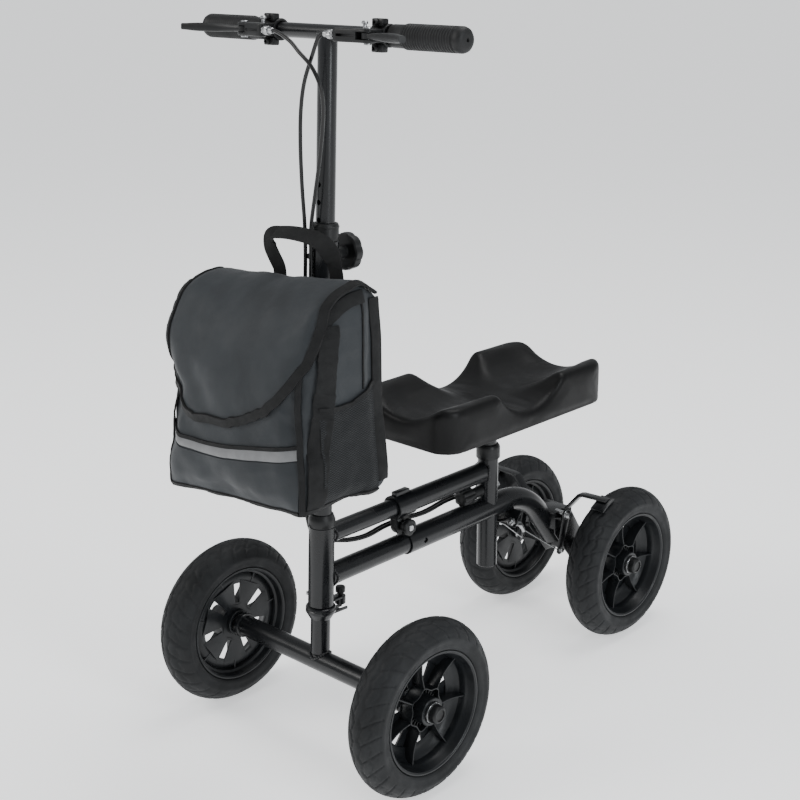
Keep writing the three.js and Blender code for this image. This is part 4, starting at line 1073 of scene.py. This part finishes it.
class Surface:
    """The bag's finished surface in mm, to lay the sewn pieces on."""

    def __init__(self, obj):
        bpy.context.view_layer.update()
        self.tree = BVHTree.FromObject(obj, bpy.context.evaluated_depsgraph_get())

    def at(self, origin, direction, proud):
        """The surface met by a ray, lifted off it, and its normal."""
        d = Vector(direction).normalized()
        hit, normal, _, _ = self.tree.ray_cast(Vector(origin) * MM, d)
        if hit is None:
            hit, normal, _, _ = self.tree.find_nearest(Vector(origin) * MM)
        if normal.dot(d) > 0:
            normal = -normal
        return hit / MM + normal * proud, normal

    def near(self, p, outward, proud):
        """The surface nearest to a place, lifted along a given way out of it."""
        return self.tree.find_nearest(p * MM)[0] / MM + outward * proud, outward

    def front(self, x, z, proud):
        return self.at((x, -600, z), (0, 1, 0), proud)

    def side(self, s, y, z, proud):
        """A place on one end of the bag, at a height that falls with that end."""
        return self.at((s * 300, y, z + drop(s * BAG_REACH)), (-s, 0, 0), proud)


def flap(surface):
    """The lid: a cloth sheet with a bound edge, from the rear top edge down the front in a curve."""
    steps, total = 60, 110
    path = catmull([(0, y, z) for y, z in BAG_PROFILE[18:6:-1]], total)
    centre = Vector((0, -335, 560))
    grid = []
    for u in spread(-1, 1, 48):
        x = u * 125.5
        line = [bag_at(x, p.y, p.z) for p in path]
        bottom = through(FLAP_EDGE, x)
        end = next((i for i, p in enumerate(line) if p.z < bottom and p.y < -372), total)
        column = []
        for f in spread(0, end, steps):
            i = min(int(f), total - 1)
            p = line[i].lerp(line[i + 1], f - i)
            outward = p - centre
            outward.x = 0
            outward.normalize()
            origin = Vector((min(max(x, -122), 122), p.y, p.z)) + outward * 60
            hit, normal = surface.at(origin, -outward, 3.0)
            hit.x = x
            fold = 0.8 * noise.noise(Vector((x * 0.03 + p.z * 0.02, 3.0, p.z * 0.03)))
            column.append((hit + outward * (1.2 + fold - 1.8 * smooth((abs(u) - 0.88) / 0.12)), normal))
        grid.append(column)
    top = [[p for p, _ in column] for column in grid]
    under = [[p - (p - centre).normalized() * 2.2 for p in column] for column in top]
    obj = place("bag_flap", panel(top, under), "bag", "column", sharp=60)
    edge = grid[0][2:] + [column[-1] for column in grid[1:-1]] + grid[-1][:1:-1]
    points, normals = resampled([p for p, _ in edge], 130), []
    for p in points:
        _, normal = min(edge, key=lambda e: (e[0] - p).length_squared)
        out = p - centre
        out.x *= 0.25
        normals.append((normal + out.normalized() * 0.8).normalized())
    inner = [p - n * 1.4 for p, n in zip(points, normals)]
    edging = place("bag_flap_binding", tape(inner, normals, 12.5, 3.2), "binding", "column")


def sheet_on(name, look, us, vs, sample, thick):
    """A thin closed panel over a grid of surface samples."""
    grid = [[sample(u, v) for v in vs] for u in us]
    under = [[p - n * thick for p, n in row] for row in grid]
    place(name, panel([[p for p, _ in row] for row in grid], under), look, "column", sharp=60)


def line_tape(name, samples, width, thick):
    points = resampled([p for p, _ in samples], 60)
    normals = [min(samples, key=lambda e: (e[0] - p).length_squared)[1] for p in points]
    place(name, tape(points, normals, width, thick), "binding", "column")


def bag():
    body = place("bag_body", bag_body(), "bag", None, sharp=0)

    def loose(p):
        """The back stays flat against the column."""
        return smooth((-283 * MM - p.y) / (12 * MM))

    puff(body, voxel=4.0, pressure=4.0, cap=6.0, keep=loose, frames=16, relax=3)
    crumple(body, 2.6, 42, loose)
    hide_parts("bag")
    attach(body, "column")
    surface = Surface(body)
    flap(surface)
    bag_front(surface)
    for word, s in SIDES:
        bag_side(surface, word, s)
    place("bag_handle_strap", handle_part(), "binding", "column", None, "bag_handle")


def bag_front(surface):
    def strip_at(x, dz, proud):
        return surface.front(x, through(BAND, x) + dz * (0.85 + 0.15 * x / BAG_REACH), proud)

    def pocket_at(x, t):
        low, high = 413 + drop(x), through(BAND, x) - 8
        swell = 1.8 * math.sin(math.pi * t) * (0.6 + 0.4 * math.sin(x * 0.05))
        return surface.front(x, low + t * (high - low), 1.2 + swell)

    xs = spread(-123.5, 117.5, 60)
    line_tape("bag_pocket_edge", [strip_at(x, 9.5, 0.3) for x in xs], 5, 2.0)
    sheet_on("bag_reflective_strip", "strip", xs, spread(-6.8, 6.8, 6),
             lambda x, dz: strip_at(x, dz, 1.4 + 0.7 * math.cos(dz * 0.2)), 1.6)
    sheet_on("bag_front_pocket", "bag", spread(-121, 121, 48), spread(0, 1, 20), pocket_at, 1.5)
    piping = [surface.front(x, 412 + drop(x), 0.4) for x in spread(-121, 121, 40)]
    line_tape("bag_low_front_piping", piping, 7, 2.4)


def bag_side(surface, word, s):
    def at(y, z, proud):
        return surface.side(s, y, z, proud)

    def corner(z):
        a, na = surface.front(s * 121.5, z + drop(s * BAG_REACH), 0.4)
        b, nb = at(-396 + max(z - 560, 0) * 0.2, z, 0.4)
        bump = 0.5 * noise.noise(Vector((z * 0.08, s * 3.0, 0)))
        return surface.near((a + b) / 2, (na + nb).normalized(), 1.3 + bump)

    def mesh_at(y, t):
        return at(y, 414 + (through(POCKET, y) - 414) * t, 1.4 + 2.6 * math.sin(math.pi * t) ** 0.7)

    ys = spread(-373, -281, 30)
    # The gusset band under the flap's side edge is partly dark fabric and partly painted shadow: a dark strip
    # where the flap shades the side.
    gusset = catmull([(-364, 622, 0), (-354, 640, 0), (-338, 653, 0), (-319, 660, 0), (-298, 662, 0)], 24)
    sheet_on(f"bag_mesh_pocket_{word}", "mesh", ys, spread(0, 1, 24), mesh_at, 1.2)
    for name, samples, width, thick in (
            ("front_piping", [corner(z) for z in spread(410, 589 if s > 0 else 566, 44)], 8, 2.4),
            ("rear_binding", [at(-273 - 4 * smooth((z - 600) / 50), z, 0.5) for z in spread(424, 656, 40)],
             18, 2.0),
            ("low_piping", [at(y, 413, 0.4) for y in spread(-396, -280, 24)], 8, 2.2),
            ("pocket_binding", [at(y, through(POCKET, y), 1.6) for y in ys], 6, 2.2),
            # the side patch's dark band: the real patch at its top, then painted shadow below it down to the
            # bottom
            ("side_patch_and_shadow", [at(through(PATCH_AND_SHADOW, z), z, 0.4) for z in spread(416, 634, 40)], 28, 1.8),
            # the gusset band: dark fabric plus painted shadow under the flap
            ("gusset", [at(p.x, p.y, 0.5) for p in gusset], 17, 1.6),
            ("side_seam", [at(-302, z, 0.2) for z in spread(548, 654, 24)], 2.6, 1.2)):
        line_tape(f"bag_{name}_{word}", samples, width, thick)


def handle_part():
    """A webbing loop sewn to the rear top edge; it turns over where it bends."""
    line = [(-38, -277, 655), (-38, -278, 668), (-46, -279, 682), (-52, -280, 694), (-51.5, -280, 705),
            (-43, -281, 712), (-28, -281, 715), (-10, -281, 716.5), (9, -281, 716.5), (30, -281, 715),
            (48, -280, 708), (60, -279, 694), (65, -278, 678), (66, -277, 662)]
    normals = []
    for t in spread(0, 1, 80):
        lean = smooth((t - 0.24) / 0.1) * (1 - smooth((t - 0.8) / 0.12))
        normals.append(Vector((0, -1 + 0.45 * lean, 0.9 * lean)).normalized())
    return tape(catmull(line, 80), normals, 24, 1.8)


# ---------------- stage and light
def stage():
    floor = solid("floor", block(-60000, 60000, -60000, 60000, -20, 0), MM)
    pale = bpy.data.materials.new("floor")
    pale.use_nodes = True
    shader = pale.node_tree.nodes["Principled BSDF"]
    for name, value in (("Base Color", (0.93, 0.93, 0.93, 1)), ("Roughness", 0.9),
                        ("Emission Color", (0.93, 0.94, 0.95, 1)), ("Emission Strength", 0.8)):
        shader.inputs[name].default_value = value
    floor.data.materials.append(pale)
    world = bpy.data.worlds.new("world")
    bpy.context.scene.world = world
    world.use_nodes = True
    background = world.node_tree.nodes["Background"]
    background.inputs["Color"].default_value = (0.95, 0.975, 1, 1)
    background.inputs["Strength"].default_value = 0.5
    for name, at, target, size, watts, color in (
            ("key", (-1.6, -2.6, 2.6), (0, 0, 0.45), (1.6, 1.6), 60, (1, 0.99, 0.97)),
            ("side", (3.0, -0.4, 1.6), (0, 0, 0.4), (0.8, 2.2), 45, (0.93, 0.97, 1)),
            ("top", (0.2, 0.8, 3.2), (0, 0.1, 0.4), (2.2, 1.4), 45, (1, 1, 1))):
        data = bpy.data.lights.new(name, "AREA")
        data.shape, data.size, data.size_y = "RECTANGLE", *size
        data.energy, data.color = watts, color
        lamp = bpy.data.objects.new(name, data)
        bpy.context.scene.collection.objects.link(lamp)
        lamp.location = at
        lamp.rotation_euler = (Vector(target) - Vector(at)).to_track_quat("-Z", "Y").to_euler()


for build in (wheels, rear_frame, rear_bracket, brake_arms, cable_stops, frame_clamp, seat, pad, front_frame,
              steering, fold_joint, column, handlebar, cables, bag, stage):
    build()
